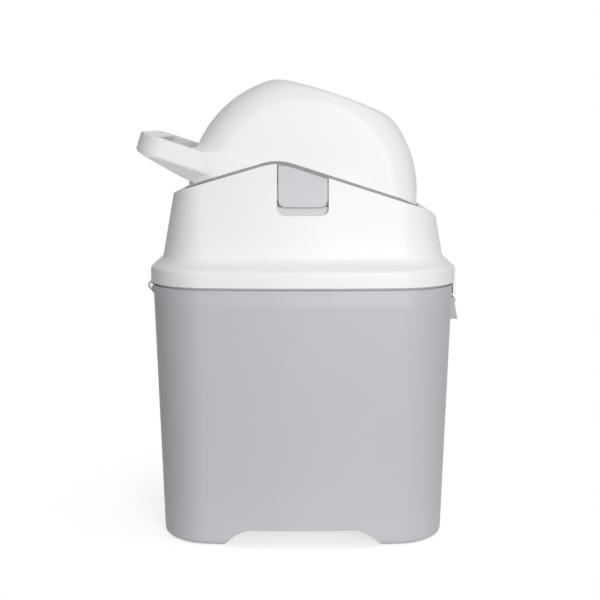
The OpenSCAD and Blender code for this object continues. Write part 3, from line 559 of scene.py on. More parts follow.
def lid_columns(across, side_steps=18, corner_steps=22):
    """Each column as (kind, x or angle or share, side in x, side in y)."""
    side = np.linspace(-1, 1, side_steps + 1)[1:-1]
    turn = np.linspace(0, 90, corner_steps + 1)
    cols = [("front", x, 0, -1) for x in across]
    cols += [("corner", a - 90, 1, -1) for a in turn]
    cols += [("side", s, 1, 0) for s in side]
    cols += [("corner", a, 1, 1) for a in turn]
    cols += [("front", x, 0, 1) for x in across[::-1]]
    cols += [("corner", a + 90, -1, 1) for a in turn]
    cols += [("side", s, -1, 0) for s in side[::-1]]
    cols += [("corner", a + 180, -1, -1) for a in turn]
    return cols


def lid_place(column, z, outwards=0.0):
    """Plan position of a column at a height."""
    kind, value, sx, sy = column
    front, sides = (float(v) for v in lid_inset(z))
    hw = BUCKET_W / 2 + 2 - sides + outwards
    hd = BUCKET_D / 2 + 2 - front + outwards
    r = CORNER_R + 2 - sides + outwards
    yd = hd - BULGE
    if kind == "front":
        x, y = value, sy * yd
    elif kind == "side":
        x, y = sx * hw, value * (yd - r)
    else:
        x = sx * (hw - r) + r * math.cos(math.radians(value))
        y = sy * (yd - r) + r * math.sin(math.radians(value))
    return x, y + BULGE * (1 - (x / hw) ** 2) * y / yd


def drum_gap(x, y, z):
    """Distance from the drum's round body to a point."""
    r = math.hypot(x, z - AXIS_H)
    a, b = r - (DRUM_R - RIM), abs(y) - (HALF_W - RIM)
    return math.hypot(max(a, 0), max(b, 0)) + min(max(a, b), 0) - RIM


def opening_place(column, start):
    """Where the roof ends: 1 mm from the drum, along the column's inward direction."""
    kind, value, sx, sy = column
    if kind == "front":
        way = (0, -sy)
    elif kind == "side":
        way = (-sx, 0)
    else:
        way = (-math.cos(math.radians(value)), -math.sin(math.radians(value)))
    low, high = 0.0, 60.0
    for _ in range(40):
        mid = (low + high) / 2
        x, y = start[0] + way[0] * mid, start[1] + way[1] * mid
        if drum_gap(x, y, float(edge_z(x))) > 1.0:
            low = mid
        else:
            high = mid
    return way, low


slot_low = AXIS_H - SLOT_DROP * cos_lean


def slot_edge(x):
    """Height of the slot's lower edge, with its round corners."""
    past = max(0.0, abs(x) - (SLOT_HW - SLOT_R))
    return slot_low + (SLOT_R - math.sqrt(max(0.0, SLOT_R ** 2 - past ** 2))) * cos_lean


corner_x = SLOT_HW - SLOT_R + SLOT_R * np.sin(np.radians(np.linspace(0, 90, 8)))
front_x = np.concatenate([np.linspace(-CENTRE_X, -50, 17)[:-1], np.linspace(-50, -SLOT_HW, 16)[:-1],
                          -corner_x[::-1],
                          np.linspace(-SLOT_HW + SLOT_R, SLOT_HW - SLOT_R, 19)[1:-1], corner_x,
                          np.linspace(SLOT_HW, 50, 16)[1:], np.linspace(50, CENTRE_X, 17)[1:]])[1:-1]
columns_of_lid = lid_columns(front_x)
slot_top = slot_edge(SLOT_HW)
SHELF_SHARE = 0.56    # away from the slot, the row that meets its corners runs at this share of the collar


def column_heights(column):
    """Heights of a column's rows, up to the collar's top edge; the slot's columns stop early."""
    x, y = lid_place(column, 300.0)
    top = edge_z(x)
    for _ in range(12):
        x, y = lid_place(column, float(top))
        top = edge_z(x)
    top = float(top)
    in_slot = column[0] == "front" and column[3] < 0 and abs(column[1]) < SLOT_HW + 0.001
    shelf = slot_edge(column[1]) if in_slot else None
    if shelf is None:
        share = np.clip((abs(x) - SLOT_HW) / (CENTRE_X - SLOT_HW), 0, 1)
        base = COLLAR_LOW + (top - COLLAR_LOW) * SHELF_SHARE
        shelf = slot_top + (base - slot_top) * share if y < 0 else base
    low = list(np.linspace(BAND_LOW, BAND_TOP - 2, 4)) + list(np.linspace(BAND_TOP - 2, BAND_TOP + 2, 8)[1:])
    low += list(np.linspace(BAND_TOP + 2, COLLAR_LOW, 8)[1:])
    low += list(COLLAR_LOW + (shelf - COLLAR_LOW) * np.linspace(0, 1, 15)[1:])
    high = list(shelf + (top - shelf) * np.linspace(0, 1, 13)[1:])
    return low, high, in_slot and abs(column[1]) < SLOT_HW - 0.001


ROOF = 4
grid, keep = [], []
for column in columns_of_lid:
    low, high, inside_slot = column_heights(column)
    stack = [(*lid_place(column, z), z) for z in low + high]
    way, reach = opening_place(column, stack[-1])
    for k in range(1, ROOF + 1):
        x = stack[len(low + high) - 1][0] + way[0] * reach * k / ROOF
        y = stack[len(low + high) - 1][1] + way[1] * reach * k / ROOF
        stack.append((x, y, float(edge_z(x))))
    grid.append(stack)
    keep.append(inside_slot)
rows_low, rows_all = len(low), len(grid[0])


def over_slot(i, j):
    """Whether the strip between two neighbouring columns lies over the slot."""
    kind_a, x_a, _, side_a = columns_of_lid[i]
    kind_b, x_b, _, _ = columns_of_lid[j]
    on_front = kind_a == kind_b == "front" and side_a < 0
    return keep[i] or keep[j] or (on_front and max(abs(x_a), abs(x_b)) < SLOT_HW + 0.001)


points = np.array(grid).reshape(-1, 3)
faces = []
for i in range(len(grid)):
    j = (i + 1) % len(grid)
    for k in range(rows_all - 1):
        if k >= rows_low - 1 and over_slot(i, j):
            continue
        faces.append((i * rows_all + k, j * rows_all + k, j * rows_all + k + 1, i * rows_all + k + 1))
lid_skin = piece_from("lid_skin", points, faces, white_abs, 30)
work = bmesh.new()
work.from_mesh(lid_skin.data)
bmesh.ops.delete(work, geom=[v for v in work.verts if not v.link_faces], context="VERTS")
bmesh.ops.remove_doubles(work, verts=work.verts, dist=1e-6)
work.to_mesh(lid_skin.data)
work.free()
wall = lid_skin.modifiers.new("wall", "SOLIDIFY")
wall.thickness = LID_WALL * MM
wall.offset = -1
wall.use_even_offset = True
lid_skin = settle(soften(lid_skin, 0.7, 3, 32))
print("lid columns", len(grid), "rows", rows_all)

# %% [markdown]
# ## Lip round the drum
# A soft lip fills the gap between the roof and the drum and keeps the smell in. Its grey is also painted
# shade:
# it draws the dark line of shade in the seam between the collar's edge and the drum. It is a band of rubber
# that stands up round the opening, so it is drawn as one closed ring whose points follow the roof's inner
# edge.

# %% Lip round the drum
LIP_FULL, LIP_RUN, LIP_DROP = 88, 14, 0.75    # full height up to here, then lower by this share over the run
profile = [(-0.1, -0.8), (-0.1, LIP_H - 0.7), (0.1, LIP_H - 0.2), (0.6, LIP_H), (1.3, LIP_H),
           (1.9, LIP_H - 0.25),
           (2.2, LIP_H - 0.8), (2.3, -0.8)]
points = []
for column, stack in zip(columns_of_lid, grid):
    way, _ = opening_place(column, stack[-1])
    x, y, z = stack[-1]
    low_end = 1 - LIP_DROP * min(1.0, max(0.0, (abs(x) - LIP_FULL) / LIP_RUN))
    points += [(x - way[0] * out, y - way[1] * out, float(edge_z(x - way[0] * out)) + up * low_end)
               for out, up in profile]
# The lip's grey draws the shaded seam between the collar's edge and the drum: painted shade
lip = piece_from("drum_lip", points, close_loop(len(grid), len(profile)) + [
    ((len(grid) - 1) * len(profile) + i, (len(grid) - 1) * len(profile) + (i + 1) % len(profile),
     (i + 1) % len(profile), i) for i in range(len(profile))], lip_rubber_and_painted_seam_shade, 60)
upright(lip)
lip.data.shade_smooth()
hand_over(lip, "lid", "seal_rubber")

# %% [markdown]
# ## Lid hinge and latch tab
# The lid turns on a knuckle between the bucket's two, and a tab on its right side reaches down to the
# spring.

# %% Lid mouldings
lid_web = [(HINGE_X - 3.3, HINGE_Z), (HINGE_X + 0.5, HINGE_Z), (-half_bucket - 0.6, HINGE_Z + 4),
           (-half_bucket - 0.6, 247.5),
           (-half_bucket - 2.1, 247.5), (HINGE_X - 3.3, BAND_LOW + 2)]
lid_parts = [lid_skin] + knuckle("lid_knuckle", -knuckle_mid + 0.3, knuckle_mid - 0.3, lid_web, white_abs)
tab_in, tab_low = half_bucket + 3.2, LATCH_Z + 5
tab = [(tab_in, tab_low), (tab_in + LID_WALL, tab_low), (tab_in + LID_WALL, BAND_LOW + 8),
       (half_bucket + 1.8, BAND_TOP - 2),
       (half_bucket - 0.3, BAND_TOP - 2), (half_bucket - 0.3, BAND_LOW), (tab_in, BAND_LOW - 2)]
lid_parts.append(prism("latch_tab", rounded(tab, [0.8, 0.8, 4, 0.5, 0, 0, 0]), -LATCH_W / 2, LATCH_W / 2,
                       white_abs, 0.6))
rib = [(tab_in - 1.8, tab_low), (tab_in + 0.1, tab_low), (tab_in + 0.1, tab_low + 2.6),
       (tab_in - 1.8, tab_low + 2.6)]
lid_parts.append(prism("latch_rib", rib, -14, 14, white_abs, 0.3))
lid_piece = fuse("lid_moulding", lid_parts)
hand_over(lid_piece, "lid", "white_plastic", "lid_cover")

# %% [markdown]
# ## Drum shells
# The drum and its handle are one smooth form: a fat disc with round rims, cut by two slightly domed mouths,
# that runs into the handle through soft fillets. Such a blend is hard to build from separate surfaces. A
# distance field makes it easy: each form is a function that gives the distance to its surface, and two
# forms are blended by a smooth minimum. The surface is then drawn with surface nets: one point in each grid
# cell that the surface crosses, moved onto the exact surface, and one quad round each grid edge that it
# crosses.

# %% Distance field of the drum
def smooth_max(a, b, k):
    h = np.clip(0.5 - 0.5 * (b - a) / k, 0, 1)
    return b + (a - b) * h + k * h * (1 - h)


def smooth_min(a, b, k):
    return -smooth_max(-a, -b, k)


def round_box(u, v, half_u, half_v, r):
    a, b = np.abs(u) - half_u + r, np.abs(v) - half_v + r
    return np.hypot(np.maximum(a, 0), np.maximum(b, 0)) + np.minimum(np.maximum(a, b), 0) - r


ARM_LOW = ARM_UP - ARM_T / 2
EDGE = 1.4                     # radius of the handle's edges
MOUTH_SOFT, HOLE_R = 4.5, 8.0    # how softly the mouths meet the rims, and the corners of the handle's hole
SOFT_BELOW, SOFT_ABOVE = 2.5, 7.0    # the fillet to the drum: crisp under the arm, this much softer above it


def drum_field(x, y, z):
    """Distance to drum and handle, in the drum's own frame: z along the tube, -x along the handle."""
    radial = np.hypot(x, z)
    body = round_box(radial, y, DRUM_R, HALF_W, RIM)
    for s in (-1, 1):
        body = smooth_max(body, np.hypot(x, z + s * (CROWN_R - REACH - CROWN)) - CROWN_R, MOUTH_SOFT)
    plan = round_box(x + (TIP - 60) / 2, y, (TIP + 60) / 2, HALF_W, GRIP_R)
    hole_left = TIP - GRIP_W
    hole = round_box(x + (hole_left - 90) / 2, y, (hole_left + 90) / 2, HALF_W - ARM_W, HOLE_R)
    plan = smooth_max(plan, -hole, 0.5)
    a, b = plan + EDGE, np.abs(z - ARM_UP) - ARM_T / 2 + EDGE
    bail = np.hypot(np.maximum(a, 0), np.maximum(b, 0)) + np.minimum(np.maximum(a, b), 0) - EDGE
    steps = [(TIP, -0.4), (DRUM_R, -GUSSET_H), (DRUM_R - RIM, -GUSSET_H - 3)]
    under = None
    for (x0, z0), (x1, z1) in zip(steps[:-1], steps[1:]):
        length = math.hypot(x0 - x1, z1 - z0)
        side = (-(z - ARM_LOW - z0) * (x0 - x1) + (x + x0) * (z1 - z0)) / length
        under = side if under is None else smooth_max(under, side, 1.5)
    slant = math.hypot(GUSSET_H, GUSSET_CUT)
    outer = ((np.abs(y) - HALF_W) * GUSSET_H - (z - ARM_LOW) * GUSSET_CUT) / slant
    gusset = smooth_max(smooth_max(under, outer, 0.6), HALF_W - ARM_W - np.abs(y), 1.2)
    gusset = smooth_max(smooth_max(gusset, z - ARM_LOW - 3, 0.5), plan + 0.3, 0.6)
    handle = smooth_min(bail, gusset, 0.4)
    whole = smooth_min(body, handle, SOFT_BELOW + SOFT_ABOVE * np.clip((z - ARM_LOW) / ARM_T, 0, 1))
    return smooth_max(whole, np.abs(y) - HALF_W, 1.2)


SCREW_X, SCREW_Z = 78.0, 38.0


def shell_field(x, y, z, side):
    """One half of the drum: side is -1 for the front and 1 for the rear."""
    field = drum_field(x, y, z)
    field = smooth_max(field, TUBE_R + 0.3 - np.hypot(x, y), 1.0)
    field = smooth_max(field, 0.08 - side * y, 0.5)
    pivot = np.maximum(np.hypot(x, z) - 8.05, HALF_W - 15 - np.abs(y))
    field = smooth_max(field, -pivot, 0.4)
    if side > 0:
        reach = np.hypot(x, z)
        pocket = np.maximum(np.maximum(reach - 22, 16 - reach), HALF_W - 4 - y)
        field = smooth_max(field, -pocket, 0.5)
        for sx in (-1, 1):
            for sz in (-1, 1):
                seat = np.maximum(np.hypot(x - sx * SCREW_X, z - sz * SCREW_Z) - 3.5, 14 - y)
                field = smooth_max(field, -seat, 0.8)
    return field


# %% Surface nets
def surface_nets(field, xs, ys, zs):
    """A quad mesh of the surface where a field is zero, on a grid with any spacing."""
    values = field(xs[:, None, None], ys[None, :, None], zs[None, None, :])
    inside = values < 0
    shape = tuple(n - 1 for n in values.shape)
    corners = [(i, j, k) for i in (0, 1) for j in (0, 1) for k in (0, 1)]

    def cut(data, i, j, k):
        return data[i:i + shape[0], j:j + shape[1], k:k + shape[2]]

    count = sum(cut(inside, *c).astype(np.int8) for c in corners)
    cells = np.argwhere((count > 0) & (count < 8))
    number = np.full(shape, -1, np.int64)
    number[tuple(cells.T)] = np.arange(len(cells))
    axes = (xs, ys, zs)
    total, hits = np.zeros((len(cells), 3)), np.zeros(len(cells))
    for axis in range(3):
        others = [a for a in range(3) if a != axis]
        for p in (0, 1):
            for q in (0, 1):
                start = cells.copy()
                start[:, others[0]] += p
                start[:, others[1]] += q
                end = start.copy()
                end[:, axis] += 1
                v0, v1 = values[tuple(start.T)], values[tuple(end.T)]
                crossed = (v0 < 0) != (v1 < 0)
                share = np.where(crossed, v0 / np.where(crossed, v0 - v1, 1), 0)
                spot = np.stack([axes[a][start[:, a]] for a in range(3)], 1).astype(float)
                spot[:, axis] += share * (axes[axis][end[:, axis]] - axes[axis][start[:, axis]])
                total += spot * crossed[:, None]
                hits += crossed
    points = total / hits[:, None]
    quads = []
    for axis in range(3):
        b, c = [a for a in range(3) if a != axis]
        size = list(values.shape)
        low = [slice(None)] * 3
        low[axis] = slice(0, size[axis] - 1)
        high = [slice(None)] * 3
        high[axis] = slice(1, size[axis])
        crossed = np.argwhere(inside[tuple(low)] != inside[tuple(high)])
        inner = (crossed > 0) & (crossed < np.array(size) - 1)
        crossed = crossed[inner[:, b] & inner[:, c]]
        starts_in = inside[tuple(crossed.T)]
        around = []
        for db, dc in ((-1, -1), (0, -1), (0, 0), (-1, 0)):
            cell = crossed.copy()
            cell[:, b] += db
            cell[:, c] += dc
            around.append(number[tuple(cell.T)])
        quad = np.stack(around, 1)
        flip = starts_in if axis == 1 else ~starts_in
        quad[flip] = quad[flip][:, ::-1]
        quads.append(quad)
    return points, np.concatenate(quads)


def field_slope(field, points, h=0.02):
    slope = np.zeros_like(points)
    for axis in range(3):
        step = np.zeros(3)
        step[axis] = h
        ahead, behind = (points + step).T, (points - step).T
        slope[:, axis] = (field(*ahead) - field(*behind)) / (2 * h)
    return slope


def steps_between(marks):
    """Grid lines: marks are (place, spacing from there on)."""
    lines = []
    for (a, gap), (b, _) in zip(marks[:-1], marks[1:]):
        lines += list(np.linspace(a, b, max(2, int(round((b - a) / gap)) + 1))[:-1])
    return np.array(lines + [marks[-1][0]])


def drum_shell(name, side):
    def field(x, y, z):
        return shell_field(x, y, z, side)
    xs = steps_between([(-158.5, 1.3), (-100, 1.8), (100, 1.6), (106.3, 1.6)])
    zs = steps_between([(-94.5, 1.3), (-84, 2.2), (-27, 1.0), (9, 2.2), (84, 1.3), (94.5, 1.3)])
    ys = steps_between([(-0.9, 0.45), (0.9, 2.2), (48, 1.6), (85.6, 0.7), (92.6, 0.7)])
    if side < 0:
        ys = -ys[::-1]
    points, quads = surface_nets(field, xs, ys, zs)
    for _ in range(4):
        slope = field_slope(field, points)
        points -= slope * (field(*points.T) / np.maximum(1e-9, (slope ** 2).sum(1)))[:, None]
    normals = field_slope(field, points)
    normals /= np.linalg.norm(normals, axis=1)[:, None]
    turn_matrix = np.array(tilt.to_3x3())
    world = points @ turn_matrix.T + np.array(tilt.translation)
    made = piece_from(name, world, quads, white_abs, 180)
    if made.data.polygons[0].normal.dot(Vector((normals[quads[0]].mean(0) @ turn_matrix.T).tolist())) < 0:
        made.data.flip_normals()
    made.data.normals_split_custom_set_from_vertices((normals @ turn_matrix.T).tolist())
    return made


for name, side, node in (("drum_front_half", -1, "drum_front_shell"),
                         ("drum_rear_half", 1, "drum_rear_shell")):
    hand_over(drum_shell(name, side), "drum", "white_plastic", node)


# %% [markdown]
# ## Mouth rings
# Each mouth has a ring that closes the gap between tube and drum and keeps the piston in. Its top follows
# the domed mouth, which is a part of a cylinder, so the ring isn't a plain turned part: it is turned from a
# profile whose upper points take their height from that cylinder at their own place.

# %% Mouth rings
def mouth_height(x):
    """Height of the domed mouth above the drum's middle, at a place across the tube."""
    return REACH + CROWN - CROWN_R + np.sqrt((CROWN_R - 0.4) ** 2 - x ** 2)


def mouth_ring(name, side, node, steps=192):
    low = TUBE_L / 2 + 0.05
    inside = [(LIP_R + 0.35, low), (LIP_R + 0.1, low + 0.1), (LIP_R, low + 0.35), (LIP_R, REACH - 3.6),
              (LIP_R + 0.12, REACH - 2.6), (LIP_R + 0.6, REACH - 1.5)]
    top = [(LIP_R + 1.25, -0.95), (LIP_R + 1.5, -0.45), (LIP_R + 1.95, -0.12), (LIP_R + 2.5, 0.0),
           (LIP_R + 3.3, 0.0),
           (TUBE_R - 0.4, -0.03), (TUBE_R - 0.12, -0.15), (TUBE_R, -0.45)]
    outside = [(TUBE_R, REACH - 5), (TUBE_R, low + 0.35), (TUBE_R - 0.1, low + 0.1), (TUBE_R - 0.35, low)]
    points = []
    for a in np.arange(steps) * 2 * math.pi / steps:
        c, n = math.cos(a), math.sin(a)
        points += [(r * c, r * n, z) for r, z in inside]
        points += [(r * c, r * n, mouth_height(r * c) + z) for r, z in top]
        points += [(r * c, r * n, z) for r, z in outside]
    count = len(inside + top + outside)
    points = np.array(points)
    if side < 0:
        points *= (1, -1, -1)
    points = points @ np.array(tilt.to_3x3()).T + np.array(tilt.translation)
    made = piece_from(name, points, close_loop(steps, count) + [
        ((steps - 1) * count + i, (steps - 1) * count + (i + 1) % count, (i + 1) % count,
         i) for i in range(count)],
        white_abs, 60)
    upright(made)
    made.data.shade_smooth()
    made.data.set_sharp_from_angle(angle=math.radians(60))
    hand_over(made, "drum", "white_plastic", node)


mouth_ring("mouth_rim_upper", 1, "mouth_ring_upper")
mouth_ring("mouth_rim_lower", -1, "mouth_ring_lower")

# %% [markdown]
# ## Tube, piston and seals
# These are turned parts, so each is a profile that is spun round the tube's axis. The piston is two cups
# that snap together; its ends are dished by less than a millimetre, so that they mould flat. Each seal sits
# in a groove and bears on the bore with three soft lips.

# %% Turned parts of the drum
half_tube = TUBE_L / 2
tube_profile = [(BORE_R, -half_tube + 0.6), (BORE_R + 0.3, -half_tube + 0.1), (BORE_R + 0.6, -half_tube),
                (TUBE_R - 0.6, -half_tube), (TUBE_R - 0.1, -half_tube + 0.3), (TUBE_R, -half_tube + 0.8),
                (TUBE_R, half_tube - 0.8), (TUBE_R - 0.1, half_tube - 0.3), (TUBE_R - 0.6, half_tube),
                (BORE_R + 0.6, half_tube), (BORE_R + 0.3, half_tube - 0.1), (BORE_R, half_tube - 0.6)]
hand_over(lathe("through_tube", tube_profile, inner_polypropylene, tilt), "drum", "inner_plastic",
          "drum_tube")

PISTON_R, PISTON_HALF, SEAL_W, SEAL_T, GROOVE_IN = BORE_R - 0.3, 35.0, 5.0, 1.6, 4.0
PISTON_MID = PISTON_HALF - half_tube
core = PISTON_R - SEAL_T - 2.0
groove_top, groove_low = PISTON_HALF - GROOVE_IN, PISTON_HALF - GROOVE_IN - SEAL_W
dish = [(r, PISTON_HALF - 0.1 - 0.8 * (1 - (r / 44) ** 2) ** 1.5)
        for r in (43, 40, 36, 31, 25, 18, 10, 4, 0)]
cup = [(core, 0.05), (PISTON_R - 0.4, 0.05), (PISTON_R, 0.4), (PISTON_R, groove_low - 0.2),
       (PISTON_R - 0.2, groove_low),
       (PISTON_R - SEAL_T, groove_low), (PISTON_R - SEAL_T, groove_top), (PISTON_R - 0.2, groove_top),
       (PISTON_R, groove_top + 0.2), (PISTON_R, PISTON_HALF - 1.6), (PISTON_R - 0.2, PISTON_HALF - 0.9),
       (PISTON_R - 0.7, PISTON_HALF - 0.3), (PISTON_R - 1.5, PISTON_HALF), (45.4, PISTON_HALF),
       (44.2, PISTON_HALF - 0.04)]
cup += dish + [(0, PISTON_HALF - 2.5), (core - 2, PISTON_HALF - 2.5), (core - 0.6, PISTON_HALF - 3.1),
               (core, PISTON_HALF - 4.5)]
spigot = [(core - 0.1, -5.5), (core - 0.1, 1.0), (core + 0.4, 1.0), (core + 0.4, 4.6), (core - 1.9, 3.0),
          (core - 1.9, -5.5)]
seal = [(PISTON_R - SEAL_T + 0.05, groove_low + 0.1), (BORE_R - 0.9, groove_low + 0.1),
        (BORE_R - 0.15, groove_low + 0.5)]
for k in range(3):
    middle = groove_low + 0.95 + 1.55 * k
    seal += [(BORE_R - 0.06, middle - 0.35), (BORE_R - 0.05, middle), (BORE_R - 0.06, middle + 0.35)]
    if k < 2:
        seal += [(BORE_R - 0.5, middle + 0.65), (BORE_R - 0.5, middle + 0.9)]
seal += [(BORE_R - 0.15, groove_top - 0.5), (BORE_R - 0.9, groove_top - 0.1),
         (PISTON_R - SEAL_T + 0.05, groove_top - 0.1)]
piston_up = tilt @ Matrix.Translation((0, 0, PISTON_MID))
piston_down = piston_up @ Matrix.Rotation(math.pi, 4, "X")
hand_over(lathe("piston_top", cup, inner_polypropylene, piston_up), "piston", "inner_plastic",
          "piston_upper_cup")
lower_parts = [lathe("piston_foot", cup, inner_polypropylene, piston_down),
               lathe("piston_spigot", spigot, inner_polypropylene, piston_down)]
hand_over(fuse("piston_bottom", lower_parts), "piston", "inner_plastic", "piston_lower_cup")
hand_over(lathe("wiper_ring_upper", seal, wiper_rubber, piston_up), "piston", "seal_rubber",
          "piston_seal_upper")
hand_over(lathe("wiper_ring_lower", seal, wiper_rubber, piston_down), "piston", "seal_rubber",
          "piston_seal_lower")

# %% [markdown]
# ## Lock button
# A plate fills the slot in the collar. Behind it, two stems carry wings that run in the guide, and a tongue
# drops into the notch of the drum's lock flange when the button is pushed down. The plate's top edge
# follows the two slopes of the collar. Everything is drawn in the frame of the leaning front and then put
# upright.

# %% Lock button
front_y = BUCKET_D / 2 + 2 - float(lid_inset(AXIS_H)[0])
front = Matrix.Translation((0, -front_y, AXIS_H)) @ Matrix.Rotation(-math.radians(FRONT_LEAN), 4, "X")


def front_prism(name, outline, y0, y1, edge=0.4):
    """An outline on the leaning front, made as deep as from y0 to y1 behind its surface."""
    made = prism(name, outline, y0, y1, button_abs, edge)
    move = Matrix.Diagonal((MM, MM, MM, 1)) @ front @ Matrix.Diagonal((1 / MM, 1 / MM, 1 / MM, 1))
    made.data.transform(move)
    return made


def block(x0, x1, z0, z1):
    return [(x0, z0), (x1, z0), (x1, z1), (x0, z1)]


def plate_top(x):
    return (float(edge_z(x)) - 0.6 - AXIS_H) / cos_lean


corner = np.radians(np.linspace(0, 90, 9))
PLATE_HW = BUTTON_HW - 0.5    # leaves a thin dark gap to the slot
plate = [(-PLATE_HW + BUTTON_R * (1 - math.cos(a)),
          -BUTTON_DROP + BUTTON_R * (1 - math.sin(a))) for a in corner]
plate += [(-x, z) for x, z in plate[::-1]]
plate += [(x, plate_top(x)) for x in np.linspace(PLATE_HW, -PLATE_HW, 24)]
button_parts = [front_prism("button_plate", plate, 0.36, LID_WALL + 0.1, 1.05)]
wing_low, wing_high, wing_y = BUTTON_R - BUTTON_DROP, 8.0, LID_WALL + 0.7
for s in (-1, 1):
    x0, x1 = sorted((s * BUTTON_HW, s * (BUTTON_HW - 6)))
    button_parts.append(front_prism("button_stem", block(x0, x1, wing_low, wing_high), LID_WALL - 0.5,
                                    wing_y + 0.1))
    x0, x1 = sorted((s * (BUTTON_HW + 3.4), s * (BUTTON_HW - 6)))
    button_parts.append(front_prism("button_wing", block(x0, x1, wing_low, wing_high), wing_y, wing_y + 1.1))
NOTCH_CLEAR, TRAVEL, TONGUE_T = 10.0, 7, 1.0
TONGUE_LOW = NOTCH_CLEAR + TRAVEL * cos_lean
tongue_y = BUCKET_D / 2 + 2 - float(lid_inset(AXIS_H + TONGUE_LOW)[0]) - LID_WALL + 0.4
button_parts.append(prism("button_tongue",
                          block(-4, 4, AXIS_H + TONGUE_LOW, AXIS_H + TONGUE_LOW + TONGUE_T), -tongue_y,
                          -HALF_W - 0.3, button_abs, 0.4))
hand_over(fuse("lock_plate", button_parts), "lock", "button_plastic", "lock_button")

# %% [markdown]
# ## Latch lever and pins
# The lever hangs on a steel pin under the lid's tab. It is a curved skin between two cheeks, with a barrel
# for the pin and a heel that pushes the spring. The pins are turned rods with chamfered heads.

# %% Latch lever and pins
half_latch = LATCH_W / 2
lever_top, flare = LATCH_Z + 3.1, 4.4
lever_low = lever_top - LATCH_L
curve = [(LATCH_X + 1 + (flare - 1) * t ** 1.3, lever_top - LATCH_L * t) for t in np.linspace(0, 1, 9)]
skin_outline = curve + [(x - 2 + max(0.0, 0.9 - 0.9 * k / 3), z) for k, (x, z) in enumerate(curve)][::-1]
cheek = [(LATCH_X - 2.4, lever_top)] + [(x - 0.05, z) for x, z in curve]
cheek += [(half_bucket + 0.2, lever_low), (half_bucket + 0.2, LATCH_Z - 3)]
# The lever is the bucket's plastic; its darker grey is painted shade
lever_parts = [prism("lever_skin", skin_outline, -half_latch, half_latch, lever_painted_shade_polypropylene, 0.5)]
for s in (-1, 1):
    y0, y1 = sorted((s * (half_latch - 0.02), s * (half_latch - 2)))
    lever_parts.append(prism("lever_cheek", rounded(cheek, [0.8] + [0] * 9 + [2.5, 2.0], 4), y0, y1,
                             lever_painted_shade_polypropylene, 0.4))
for y0, y1 in ((-half_latch + 2, -half_latch + 6), (-half_latch + 10, half_latch - 10),
               (half_latch - 6, half_latch - 2)):
    lever_parts.append(prism("lever_barrel", disc(LATCH_X, LATCH_Z, 2.6), y0, y1, lever_painted_shade_polypropylene, 0.3))
heel_x = half_bucket + 0.8
lever_parts.append(prism("lever_heel", block(heel_x, heel_x + 2.9, LATCH_Z - 1, LATCH_Z + 2.3), -8, 8,
                         lever_painted_shade_polypropylene, 0.4))
hand_over(fuse("latch_handle", lever_parts), "latch", "bucket_plastic", "latch_lever")


def along_y(x, z):
    """Turns a part that was spun about Z to lie along Y at a place in X and Z."""
    return Matrix.Translation((x, 0, z)) @ Matrix.Rotation(math.radians(-90), 4, "X")


half_pin, r = HINGE_L / 2 + 0.1, 1.6
pin = [(0, -half_pin - 1), (r + 0.6, -half_pin - 1), (r + 1, -half_pin - 0.7), (r + 1, -half_pin),
       (r, -half_pin), (r, half_pin),
       (r + 1, half_pin), (r + 1, half_pin + 0.7), (r + 0.6, half_pin + 1), (0, half_pin + 1)]
hand_over(lathe("hinge_rod", pin, zinc_steel, along_y(HINGE_X, HINGE_Z), 32), "bucket", "steel", "hinge_pin")
half_pin, r = (LATCH_W - 1) / 2, 1.5
pin = [(0, -half_pin), (r - 0.3, -half_pin), (r, -half_pin + 0.3), (r, half_pin - 0.3), (r - 0.3, half_pin),
       (0, half_pin)]
hand_over(lathe("latch_rod", pin, zinc_steel, along_y(LATCH_X, LATCH_Z), 32), "bucket", "steel", "latch_pin")

# %% [markdown]
# ## Pads and screws
# Four pads and twelve screws repeat, so one of each is modelled and a Geometry Nodes tree sets a copy on
# every marked place. Each screw is turned by its own random angle with a fixed seed, as real screws never
# stop at the same angle. The tree ends in Realize Instances, so that one plain mesh comes out for each
# body.

# %% Copies on marked places
def copies_tree():
    """A node group that sets one piece on every point of a mesh."""
    tree = bpy.data.node_groups.new("copies_on_places", "GeometryNodeTree")
    face = tree.interface
    face.new_socket("Places", in_out="INPUT", socket_type="NodeSocketGeometry")
    face.new_socket("Piece", in_out="INPUT", socket_type="NodeSocketObject")
    face.new_socket("Turn", in_out="INPUT", socket_type="NodeSocketVector")
    face.new_socket("Spin", in_out="INPUT", socket_type="NodeSocketFloat")
    face.new_socket("Finish", in_out="INPUT", socket_type="NodeSocketMaterial")
    face.new_socket("Copies", in_out="OUTPUT", socket_type="NodeSocketGeometry")
    group = add_node(tree, "NodeGroupInput").outputs
    piece = add_node(tree, "GeometryNodeObjectInfo", {"Object": group["Piece"]})
    placed = add_node(tree, "GeometryNodeInstanceOnPoints",
                      {"Points": group["Places"], "Instance": piece.outputs["Geometry"],
                                                             "Rotation": group["Turn"]})
    angle = add_node(tree, "FunctionNodeRandomValue", {"Seed": 7}, data_type="FLOAT")
    spin = add_node(tree, "ShaderNodeMath", {0: angle.outputs["Value"], 1: group["Spin"]},
                    operation="MULTIPLY")
    about = add_node(tree, "ShaderNodeCombineXYZ", {"Z": spin.outputs["Value"]})
    spun = add_node(tree, "GeometryNodeRotateInstances", {"Instances": placed.outputs["Instances"],
                                                          "Rotation": about.outputs["Vector"]})
    plain = add_node(tree, "GeometryNodeRealizeInstances", {"Geometry": spun.outputs["Instances"]})
    done = add_node(tree, "GeometryNodeSetMaterial",
                    {"Geometry": plain.outputs["Geometry"], "Material": group["Finish"]})
    add_node(tree, "NodeGroupOutput", {"Copies": done.outputs["Geometry"]})
    return tree


copies = copies_tree()


